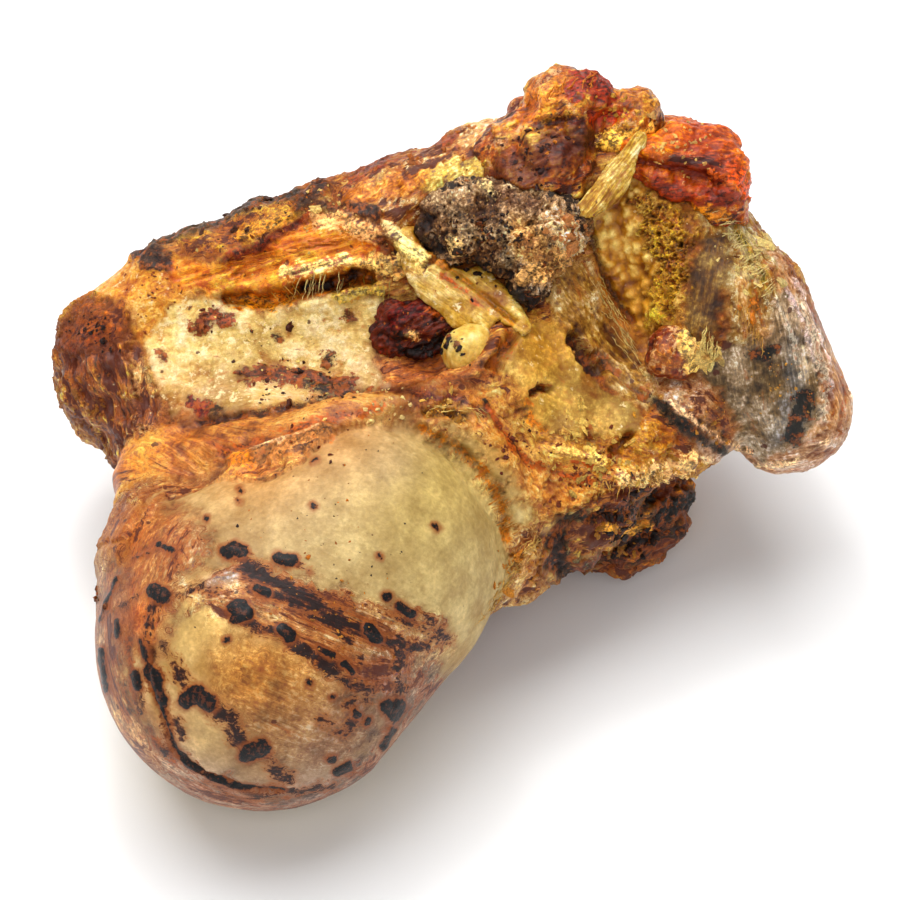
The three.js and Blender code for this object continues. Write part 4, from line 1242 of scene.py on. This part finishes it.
def scrap(name, node, material, voxel, swell, surfaces, marks=(), tints=(), extra=(), decay=1.0,
          patch=0.3):
    """One scrap: remeshed with voxels of some mm, swollen by some mm, roughened and painted."""
    points, faces = even(*solid(node), voxel, extra)
    points = smoothed(points, faces, SMOOTHING_ROUNDS)
    cloth = Dress(points, faces)
    cloth.surfaces(surfaces)
    cloth.raise_relief(decay, patch)
    cloth.tints(tints)
    cloth.marks(marks)
    piece(name, cloth.moved(cloth.relief + swell), faces, node, material, cloth.fields())


# %% [markdown]
# The crust in the middle burnt to crumbs of charcoal and ash. It is matt and dry, so it gets the
# roughest body and no light passes through it, and its lumps stay strong down to the smallest.

# %% Burnt crust
burnt_meat = tissue_material("burnt meat crust", 0.8, 0.0, "#583018", "#0c0808", "#b89470")[0]

scrap("burnt_crust", "charred_meat", burnt_meat, 0.42, 0.1, [
    {"grain": 1.2, "stretch": 1.0, "fibre": 0.6, "lump": 0.8, "fold": 0.4, "gloss": 0.5,
     "way": (430, 190, 560, 290), "brown": 0.5, "cream": 0.42, "streaky": 0.6,
     "colours": ("#24120f", "#986c50", "#f0c4a0")}], [
    ("tan half", [(520, 232), (535, 250), (548, 262)], 17, 9, "#f0b880", 0.0, 0.8),
    ("ash", [(498, 220), (504, 236), (508, 262)], 8, 6, "#2c3440", 0.0, 0.75),
    ("brown purple left", [(436, 214), (460, 212), (490, 206), (530, 214)], 18, 9, "#5c3428", 0.0, 0.6),
    ("ash left", [(440, 205), (462, 222), (478, 240)], 7, 7, "#383438", 0.0, 0.6),
    ("brown", [(470, 262), (495, 245)], 7, 6, "#6c4028", 0.0, 0.7),
    ("pale crumb", [(452, 238), (458, 250)], 5, 2, "#d8b890", 0.5, 0.9),
    ("pale crumb b", [(484, 186), (492, 194)], 5, 3, "#c8b090", 0.4, 0.8),
    ("rust", [(520, 240), (540, 250)], 8, 6, "#7c3c20", 0.2, 0.7),
    ("pink crumbs", [(555, 222), (574, 235), (574, 254)], 14, 5, "#fcc8a0", 0.6, 0.9),
    ("pink crumbs b", [(528, 275), (548, 272), (556, 258)], 9, 4, "#bc9470", 0.5, 0.8),
    ("black edge", [(476, 262), (505, 284), (535, 302)], 6, 3, "#0a0809", 0.0, 0.95),
    ("purple top", [(492, 192), (535, 204)], 9, 7, "#542624", 0.0, 0.7)], decay=0.7, patch=0.7)

# %% [markdown]
# Dried meat is muscle that lost its water: dark red where it is thick, orange where it is thin
# and the light comes through, nearly black where it burnt. It is folded and lumpy, and its
# colour is never even. The crown on the top end of the ridge is the lumpiest of it.

# %% Crown of dried meat
dried_meat = tissue_material("dried meat", 0.55, 0.2, "#8c3210", "#36100c", "#e4b074")[0]

scrap("meat_lumps", "meat_crown", dried_meat, 0.42, 0.0, [
    {"grain": 1.8, "stretch": 3, "fibre": 0.15, "lump": 0.5, "fold": 0.8, "gloss": 0.85,
     "way": (520, 120, 600, 90), "brown": 0.44, "cream": 0.42,
     "colours": ("#5c1c0c", "#d87826", "#f0bc68")}], [
    ("purple crust", [(490, 200), (520, 172), (548, 152), (575, 140)], 22, 6, "#743224", 0.3, 0.88),
    ("crust edge", [(560, 150), (598, 138), (604, 148)], 9, 5, "#5c201a", 0.3, 0.8),
    ("red heart", [(578, 88), (592, 84), (602, 96)], 14, 4, "#84261a", 0.4, 0.85),
    ("orange lobe", [(528, 116), (542, 102), (556, 94)], 12, 6, "#dc7a2a", 0.4, 0.6),
    ("inner hollow", [(598, 118), (622, 110)], 9, 4, "#9c3408", -1.6, 0.8),
    ("yellow patch", [(606, 142), (640, 132)], 10, 3, "#e0b468", 0.4, 0.85),
    ("tan edge", [(608, 82), (628, 90), (645, 104)], 9, 5, "#bc7428", 0.3, 0.75),
    # A dark line in a fold of the crown: painted shade.
    ("painted shade in the fold", [(536, 128), (560, 120), (585, 120)], 4, 4, "#421410", -0.9, 0.8)], decay=0.9)

# %% [markdown]
# The roll beside it curled up as it dried: an upper and a lower lip with a deep groove between.

# %% Rolled meat
scrap("meat_rolled", "meat_roll", dried_meat, 0.42, 0.0, [
    {"grain": 1.8, "stretch": 5, "fibre": 0.2, "lump": 0.45, "fold": 0.4, "gloss": 0.6,
     "way": (640, 150, 740, 150), "brown": 0.42, "cream": 0.36,
     "colours": ("#7c1c04", "#c04a0c", "#e8882c")}], [
    ("upper lip", [(636, 148), (680, 134), (732, 138)], 12, 5, "#d0600f", 0.5, 0.5),
    ("groove", [(640, 160), (685, 172), (714, 184)], 8, 5, "#8c2c1e", -2.4, 0.85),
    ("lower lip", [(655, 188), (700, 200), (735, 196)], 9, 4, "#84300e", 0.5, 0.7),
    ("red end", [(736, 165), (742, 188)], 8, 4, "#cc5a1c", 0.3, 0.75),
    ("amber foot", [(700, 208), (722, 214)], 7, 4, "#c08030", 0.2, 0.8)], [
    (650, 134, 26, "#d88a30", 0.85), (735, 140, 20, "#d07024", 0.7),
    (745, 180, 16, "#d8843c", 0.7)], decay=0.9)

# %% [markdown]
# Two small scraps: dark meat in the pit, with its threads laid bare, and a pink knot of gristle
# at the edge of the condyle, with one side of cream fat.

# %% Pit meat and knot
scrap("pit_scrap", "pit_meat", dried_meat, 0.38, 0.0, [
    {"grain": 1.3, "stretch": 3, "fibre": 0.5, "lump": 0.35, "fold": 0.5, "gloss": 0.3,
     "way": (380, 340, 460, 300), "brown": 0.5, "cream": 0.2, "dark": 1.0,
     "colours": ("#0c0202", "#280604", "#581a0c")}], [
    ("wine gloss", [(392, 322), (412, 308), (428, 304)], 8, 4, "#540c04", 0.2, 0.75),
    ("orange top", [(430, 306), (444, 316)], 5, 4, "#98501c", 0.2, 0.7),
    ("black left", [(398, 336), (404, 352)], 5, 4, "#1c0c0c", 0.0, 0.85),
    ("black", [(412, 352), (436, 342), (456, 352)], 7, 5, "#120909", 0.2, 0.85),
    ("rust left", [(380, 350), (378, 372)], 8, 5, "#86381c", 0.2, 0.8),
    ("fleck", [(410, 333), (416, 337)], 3, 2, "#d0a880", 0.3, 0.85)], decay=0.9)

scrap("meat_knob", "meat_knot", dried_meat, 0.34, 0.2, [
    {"grain": 1.6, "stretch": 1.5, "fibre": 0.15, "lump": 0.9, "fold": 0.6, "gloss": 0.8,
     "way": (655, 350, 690, 370), "brown": 0.36, "cream": 0.42,
     "colours": ("#5c180a", "#8c3418", "#c4784c")}], [
    ("cream side", [(684, 336), (690, 360)], 8, 3, "#e8c488", 0.5, 0.8)], decay=0.8)

# %% [markdown]
# Rendered fat has been hot enough to melt and set again: smooth, waxy and pale yellow, with
# brown only where juice ran over it. Light goes deep into it, so it gets the most subsurface.
# There are three pieces: a pearl, which an added blob makes rounder, a flap and a thin strap.

# %% Fat
soft_fat = tissue_material("rendered fat", 0.5, 0.35, "#a86018", "#5c2a10", "#f4e2b4")[0]

scrap("fat_ball", "fat_pearl", soft_fat, 0.3, 0.7, [
    {"grain": 3, "stretch": 1, "fibre": 0.0, "lump": 0.3, "gloss": 0.9, "streaky": 0.1, "brown": 0.16,
     "cream": 0.25, "colours": ("#d09c48", "#e8cc88", "#f6e6bc")}], [
    ("spots", [(452, 338), (458, 346)], 2, 2, "#5c2a12", 0.1, 0.9),
    ("amber right", [(486, 345), (490, 362)], 4, 5, "#b87020", 0.0, 0.7)],
    extra=[(*(on_bone(470, 356) + (0, 0, 1.2)), 3.9)], patch=0.15)

scrap("fat_strip", "fat_flap", soft_fat, 0.32, 0.3, [
    {"grain": 2.2, "stretch": 9, "fibre": 0.12, "lump": 0.3, "fold": 0.2, "gloss": 0.7, "streaky": 0.3,
     "brown": 0.3, "cream": 0.35, "way": (430, 265, 505, 322),
     "colours": ("#a86c20", "#d8b05c", "#f8e0a4")}], [
    ("tan upper end", [(422, 236), (438, 252), (446, 262)], 9, 4, "#a87038", -0.3, 0.9),
    ("tooth", [(398, 238), (411, 250), (424, 262)], 7, 3, "#f0d8a0", 0.6, 0.9),
    # The dark brown between the tooth and the flap is painted shade in the gap.
    ("painted shade in the gap", [(424, 268), (431, 262), (438, 256)], 2.5, 2, "#5c3014", -1.0, 0.85),
    ("brown streak", [(444, 276), (462, 290), (484, 308)], 2.5, 3, "#b0581c", -0.2, 0.7),
    ("groove", [(449, 268), (480, 292), (514, 321)], 1.8, 2, "#a87434", -0.9, 0.75)], patch=0.15)

scrap("fat_band", "fat_strap", soft_fat, 0.28, 0.0, [
    {"grain": 1.2, "stretch": 12, "fibre": 0.15, "lump": 0.15, "gloss": 0.8, "streaky": 0.8,
     "brown": 0.2, "cream": 0.3, "way": (575, 205, 630, 135),
     "colours": ("#a86c20", "#d4ac54", "#f4dc9c")}], patch=0.15)

# %% [markdown]
# What lies loose comes last: crumbs of burnt juice, flakes of dried fat that stand off the bone,
# and hair-thin strands of torn tendon. Paint could show them too, but only a real edge throws
# the tiny shadow by which the eye tells food from painted plaster. Each crumb is a small lumpy
# ball, flattened, tilted and sunk into whatever carries it under its pixel. A strand is a thin
# tube that bridges two places, or stands up from one of them.

# %% Crumbs and strands
CRUMBS = [
    # name, pixel, reach in px, how many, size in mm, flatness, length, colour
    ("ridge", (395, 262), 24, 16, 0.7, 0.7, 1.2, "#e4c088"),
    ("ridge b", (330, 205), 40, 24, 0.45, 0.7, 1.2, "#e8c890"),
    ("orange ridge", (280, 245), 60, 26, 0.35, 0.6, 1.4, "#d88838"),
    ("pink", (570, 235), 26, 44, 0.7, 0.8, 1.1, "#c89070"),
    ("pink low", (548, 268), 18, 26, 0.6, 0.8, 1.1, "#a87c60"),
    ("char", (490, 235), 44, 80, 0.55, 0.8, 1.2, "#18141a"),
    ("char tan", (500, 240), 48, 46, 0.4, 0.7, 1.3, "#a87c54"),
    ("char pale", (480, 225), 44, 20, 0.35, 0.6, 1.2, "#d8bc94"),
    ("black tip", (532, 298), 8, 10, 0.8, 0.4, 1.8, "#0c0a0c"),
    ("knot cream", (700, 348), 16, 16, 1.1, 0.35, 1.8, "#ecca90"),
    ("dome left", (94, 596), 16, 9, 1.0, 0.7, 1.3, "#7c4a26"),
    ("valley brown", (262, 378), 36, 22, 0.5, 0.6, 1.4, "#5c2c18"),
    ("valley black", (328, 386), 22, 12, 0.55, 0.6, 1.4, "#181012"),
    ("valley cream", (250, 335), 70, 30, 0.4, 0.5, 1.3, "#eccf90"),
    ("left slit", (205, 322), 16, 10, 0.6, 0.5, 1.6, "#6c3620"),
    ("band cream", (388, 402), 26, 20, 0.5, 0.6, 1.3, "#ecd0a0"),
    ("band brown", (300, 418), 60, 26, 0.35, 0.6, 1.5, "#6c2c14"),
    ("hole rim", (450, 405), 26, 18, 0.5, 0.5, 1.5, "#e0b470"),
    ("shelf cream", (590, 458), 42, 50, 0.8, 0.4, 1.5, "#e8c480"),
    ("shelf brown", (590, 470), 44, 40, 0.5, 0.5, 1.4, "#8c461a"),
    ("shelf right", (655, 455), 30, 30, 0.7, 0.4, 1.5, "#d8a050"),
    ("seam", (515, 445), 28, 30, 0.4, 0.6, 1.3, "#702c10"),
    ("torn", (520, 570), 28, 30, 0.6, 0.5, 1.5, "#c88c48"),
    ("leg tan", (620, 536), 36, 24, 0.6, 0.5, 1.4, "#b88444"),
    ("leg black", (630, 520), 40, 40, 0.9, 0.7, 1.3, "#160e0e"),
    ("crown orange", (560, 110), 34, 40, 0.45, 0.6, 1.3, "#e49444"),
    ("crown tan", (625, 115), 28, 30, 0.5, 0.5, 1.4, "#dcaa60"),
    ("crown dark", (540, 160), 34, 40, 0.5, 0.7, 1.2, "#3c1614"),
    ("roll cream", (680, 140), 36, 34, 0.5, 0.5, 1.4, "#ecc088"),
    ("roll orange", (725, 175), 20, 20, 0.6, 0.5, 1.4, "#d86c24"),
    ("pit orange", (412, 325), 26, 22, 0.35, 0.6, 1.3, "#c07038"),
    ("pit black", (440, 345), 20, 20, 0.6, 0.7, 1.3, "#140a0a"),
    ("knob dark", (95, 330), 26, 26, 0.55, 0.7, 1.3, "#200e0e"),
    ("knob tan", (98, 410), 34, 30, 0.5, 0.6, 1.4, "#b07848"),
    ("shoulder", (150, 290), 36, 26, 0.4, 0.6, 1.5, "#8c4018"),
    ("crust", (750, 258), 28, 40, 0.7, 0.35, 1.8, "#e8d09c"),
    ("crust orange", (752, 308), 14, 16, 0.6, 0.5, 1.5, "#c8802c"),
    ("sponge edge", (668, 290), 16, 30, 0.5, 0.6, 1.3, "#d4a444"),
    ("mottled", (715, 420), 24, 30, 0.35, 0.6, 1.3, "#d89c58"),
    ("cartilage", (780, 380), 36, 40, 0.25, 0.6, 1.3, "#d0a060"),
    ("dome specks", (330, 560), 110, 40, 0.22, 0.5, 1.3, "#2c1410"),
    ("dome orange", (300, 500), 110, 26, 0.28, 0.5, 1.3, "#c07830"),
    ("streak specks", (330, 630), 60, 50, 0.28, 0.5, 1.4, "#c88c48"),
    ("top edge", (250, 205), 60, 30, 0.6, 0.6, 1.4, "#54301e"),
    ("rear ridge", (450, 140), 50, 30, 0.5, 0.6, 1.4, "#b8702c"),
    ("rim", (846, 400), 30, 14, 0.4, 0.5, 1.5, "#c87c44"),
]
BALL_CUTS = 2
CRUMBS_MORE = 1.5
CRUMB_SCALE = (-0.85, 0.5)
SUNK = 0.1
EDGE_ON = 0.12
chance = np.random.default_rng(11)


def ball():
    """The points and triangles of a round ball of radius 1."""
    form = bmesh.new()
    bmesh.ops.create_icosphere(form, subdivisions=BALL_CUTS, radius=1.0)
    points = np.array([vertex.co for vertex in form.verts])
    faces = np.array([[vertex.index for vertex in face.verts] for face in form.faces])
    form.free()
    return points, faces


BALL = ball()


def crumb(place, normal, size, flat, long):
    """One lumpy flake, sunk a little into what carries it."""
    swell = np.clip(1 + 0.8 * lumps(BALL[0] + chance.uniform(0, 60), 0.8, 2), 0.3, 2.0)
    shape = BALL[0] * swell[:, None] * (size * long, size, size * flat)
    up = normal + chance.normal(0, 0.3, 3)
    up /= np.linalg.norm(up)
    side = np.cross(up, chance.normal(size=3))
    side /= np.linalg.norm(side)
    return place - SUNK * size * normal + shape @ np.stack([side, np.cross(up, side), up])


carriers = tree_of(np.vstack([shape for shape, _ in laid]),
                   np.vstack([faces + sum(len(shape) for shape, _ in laid[:i])
                              for i, (_, faces) in enumerate(laid)]))
bits = []
landed = {}
for name, pixel, reach, count, size, flat, long, colour in CRUMBS:
    before = len(bits)
    for _ in range(int(CRUMBS_MORE * count)):
        found = under_pixel(carriers, *(np.array(pixel) + chance.normal(0, reach / 2, 2)))
        if found is not None and found[1] @ BACK > EDGE_ON:
            own_size = size * np.exp(chance.normal(*CRUMB_SCALE))
            points = crumb(*found, own_size, flat, long * chance.uniform(0.8, 1.5))
            bits.append((points, BALL[1], flesh(colour) * chance.uniform(0.6, 1.3)))
    landed[name] = len(bits) - before
print(len(bits), "crumbs:", landed)

# %% [markdown]
# Torn tendon ends in hair-thin strands. One bridges two places, such as the two sides of a slit,
# or has its second end lifted off the bone. Each is a tube with four sides, bent upwards and
# wavy. A real one is under a tenth of a millimetre thick, too fine for the picture, so these
# are two or three times as thick.

# %% Strands
STRANDS = [
    # name, first line, second line (pixels), how many, bulge in mm, loose end in mm, half width, colour
    ("over the slit", [(296, 280), (352, 272)], [(288, 304), (346, 296)], 16, 0.6, 0.0, 0.09, "#ecd8a4"),
    ("slit left", [(226, 296), (290, 284)], [(240, 306), (300, 302)], 8, 0.4, 0.0, 0.08, "#d8ac60"),
    ("olive web", [(352, 284), (392, 284)], [(344, 300), (396, 302)], 14, 0.5, 0.0, 0.12, "#b8a468"),
    ("condyle fuzz", [(712, 208), (768, 300)], [(722, 204), (780, 292)], 60, 0.5, 1.4, 0.09, "#ecd8a8"),
    ("crust fuzz", [(738, 300), (762, 336)], [(734, 316), (764, 352)], 30, 0.4, 0.8, 0.1, "#e0b070"),
    ("knot spikes", [(692, 352), (716, 372)], [(696, 322), (720, 346)], 12, 0.6, 1.6, 0.28, "#f0d8a0"),
    ("shelf edge", [(600, 484), (700, 462)], [(596, 496), (704, 476)], 40, 0.4, 0.7, 0.14, "#dcae6c"),
    ("torn sheet", [(546, 520), (484, 620)], [(538, 530), (476, 630)], 44, 0.4, 0.8, 0.14, "#e4bc80"),
    ("dome edge", [(476, 470), (512, 540)], [(488, 462), (522, 534)], 26, 0.3, 0.3, 0.1, "#c88838"),
    ("fibres", [(592, 272), (640, 372)], [(604, 290), (656, 396)], 40, 0.3, 0.0, 0.1, "#e8cc94"),
    ("ridge threads", [(190, 280), (330, 240)], [(230, 274), (372, 234)], 40, 0.2, 0.0, 0.12, "#d88830"),
    ("hole threads", [(424, 410), (478, 412)], [(438, 402), (490, 420)], 14, 0.5, 0.2, 0.1, "#e8c88c"),
    ("dome left fuzz", [(104, 560), (92, 620)], [(96, 560), (84, 622)], 16, 0.4, 0.6, 0.12, "#a87850"),
    ("roll rags", [(660, 122), (735, 124)], [(668, 112), (742, 116)], 18, 0.4, 0.6, 0.16, "#e09850"),
    ("crown rags", [(520, 108), (600, 76)], [(524, 98), (608, 70)], 20, 0.4, 0.5, 0.16, "#dc8c40"),
]
STRAND_STEPS = 7
LONGEST_STRAND = 9.0
WAVY = 0.12
SPREAD = 3
END_SPREAD = 2.5


def strand(start, end, bulge, width):
    """One thin tube from start to end, thinner towards its end."""
    t = np.linspace(0, 1, STRAND_STEPS)[:, None]
    line = start + (end - start) * t + bulge * 4 * t * (1 - t)
    line += WAVY * np.linalg.norm(end - start) * t * (1 - t) * chance.normal(size=(STRAND_STEPS, 3))
    way = np.gradient(line, axis=0)
    side = np.cross(way, (0.3, 0.5, 0.8))
    side /= np.linalg.norm(side, axis=1, keepdims=True)
    up = np.cross(way, side) / np.linalg.norm(way, axis=1, keepdims=True)
    shape = [line + (np.cos(a) * side + np.sin(a) * up) * width * (1.2 - t)
             for a in np.arange(4) * np.pi / 2]
    corners = [[(k + 4 * i, (k + 1) % 4 + 4 * i, (k + 1) % 4 + 4 * i + 4, k + 4 * i + 4)
                for k in range(4)] for i in range(STRAND_STEPS - 1)]
    last = 4 * (STRAND_STEPS - 1)
    quads = np.vstack([np.array(corners).reshape(-1, 4),
                       [(3, 2, 1, 0), (last, last + 1, last + 2, last + 3)]])
    return np.stack(shape, axis=1).reshape(-1, 3), np.vstack([quads[:, :3], quads[:, [0, 2, 3]]])


for name, first, second, count, bulge, loose, width, colour in STRANDS:
    before = len(bits)
    for _ in range(count):
        t, shift = chance.uniform(0, 1), chance.normal(0, SPREAD, 2)
        ends = [under_pixel(carriers, *(np.array(line[0]) * (1 - t) + np.array(line[1]) * t + shift
                                        + chance.normal(0, END_SPREAD, 2)))
                for line in (first, second)]
        if None in ends or np.linalg.norm(ends[0][0] - ends[1][0]) > LONGEST_STRAND:
            continue
        rise = BACK * 0.6 + ends[0][1] * 0.6
        start = ends[0][0] - SUNK * ends[0][1]
        end = ends[1][0] + loose * chance.uniform(0, 1) * rise
        points, faces = strand(start, end, bulge * chance.uniform(0, 1) * rise,
                               width * chance.uniform(0.6, 1.3))
        bits.append((points, faces, flesh(colour) * chance.uniform(0.7, 1.2)))
    landed[name] = len(bits) - before
print("strands:", {entry[0]: landed[entry[0]] for entry in STRANDS})

# %% [markdown]
# All loose bits become one mesh with flat faces, each bit in its own even colour. It stands for
# the bone's solid too, as it lies on the bone and the scraps.

# %% One mesh of loose bits
NOT_INTO_TABLE = 0.2

loose_material = tissue_material("crumbs and torn strands", 0.6, 0.1)[0]
bit_points = np.vstack([points for points, _, _ in bits])
starts = np.cumsum([0] + [len(points) for points, _, _ in bits[:-1]])
bit_faces = np.vstack([faces + start for start, (_, faces, _) in zip(starts, bits)])
bit_paint = np.vstack([np.tile(np.clip(shade, 0, 1), (len(points), 1)) for points, _, shade in bits])
bit_fields = {"paint": bit_paint, "deep": 0.5 * bit_paint, "crest": np.minimum(1.3 * bit_paint, 1),
              "grain": bit_points, "spot": np.full(len(bit_points), NOWHERE),
              **{key: np.full(len(bit_points), DEFAULT[key]) for key in PASSED_ON}}
bit_points[:, 2] = np.maximum(bit_points[:, 2], NOT_INTO_TABLE)
loose_bits = piece("loose_bits", bit_points, bit_faces, "knuckle_bone", loose_material, bit_fields)
loose_bits.data.shade_flat()

# %% [markdown]
# The studio is a white table that reaches far past the picture. The room itself stays rather
# dark: a white room would lay a grey veil of reflections over every black spot.

# %% Table and room
HALF_TABLE = 2.5
TABLE_DROP = 0.0002
ROOM_LIGHT = 0.32

table_mesh = bpy.data.meshes.new("table")
corners = [(x * HALF_TABLE, y * HALF_TABLE, 0) for x, y in ((-1, -1), (1, -1), (1, 1), (-1, 1))]
table_mesh.from_pydata(corners, [], [(0, 1, 2, 3)])
table = bpy.data.objects.new("table", table_mesh)
bpy.context.collection.objects.link(table)
table.location.z = -TABLE_DROP
paper = new_material("matt white paper", {"Base Color": rgba("#f0f0f0"), "Roughness": 0.9})[0]
table_mesh.materials.append(paper)

world = bpy.data.worlds.new("studio room")
bpy.context.scene.world = world
world.use_nodes = True
world.node_tree.nodes["Background"].inputs["Color"].default_value = (1, 1, 1, 1)
world.node_tree.nodes["Background"].inputs["Strength"].default_value = ROOM_LIGHT

# %% [markdown]
# Three lamps light it. The key is big and soft and stands above and behind the bone, a little to
# the left, as in the photo, where the shadow falls to the front and right. The spark is small
# and adds sharp glints on the greasy film. The fill above the camera keeps the shadows open.

# %% Lamps
MIDDLE = Vector((TARGET + ZERO) * MM)
LAMPS = [
    # name, place in metres, side in metres, power in watts
    ("key", (-0.16, 0.4, 1.12), 1.3, 22.5),
    ("spark", (-0.12, 0.42, 1.0), 0.14, 1.2),
    ("fill", (0.0, -0.9, 0.9), 0.8, 5),
]
for name, place, side, power in LAMPS:
    light = bpy.data.lights.new(name, "AREA")
    light.size = side
    light.energy = power
    lamp = bpy.data.objects.new(name, light)
    bpy.context.collection.objects.link(lamp)
    lamp.location = place
    lamp.rotation_euler = (MIDDLE - Vector(place)).to_track_quat("-Z", "Y").to_euler()

# %% [markdown]
# The camera stands where the photo was taken from, 50 degrees above the table, and its lens gives
# 0.19 mm a pixel at the bone. The plain colour transform keeps the hex colours as they are named.

# %% Camera
SENSOR = 36
NEAREST_SEEN = 0.05

camera_data = bpy.data.cameras.new("photo view")
camera_data.sensor_width = SENSOR
camera_data.lens = SENSOR * PHOTO_DISTANCE / (PHOTO_SIZE * PHOTO_MM)
camera_data.clip_start = NEAREST_SEEN
camera = bpy.data.objects.new("photo view", camera_data)
bpy.context.collection.objects.link(camera)
camera.location = (EYE + ZERO) * MM
camera.rotation_euler = Vector(-BACK).to_track_quat("-Z", "Y").to_euler()
bpy.context.scene.camera = camera
bpy.context.scene.view_settings.view_transform = "Standard"
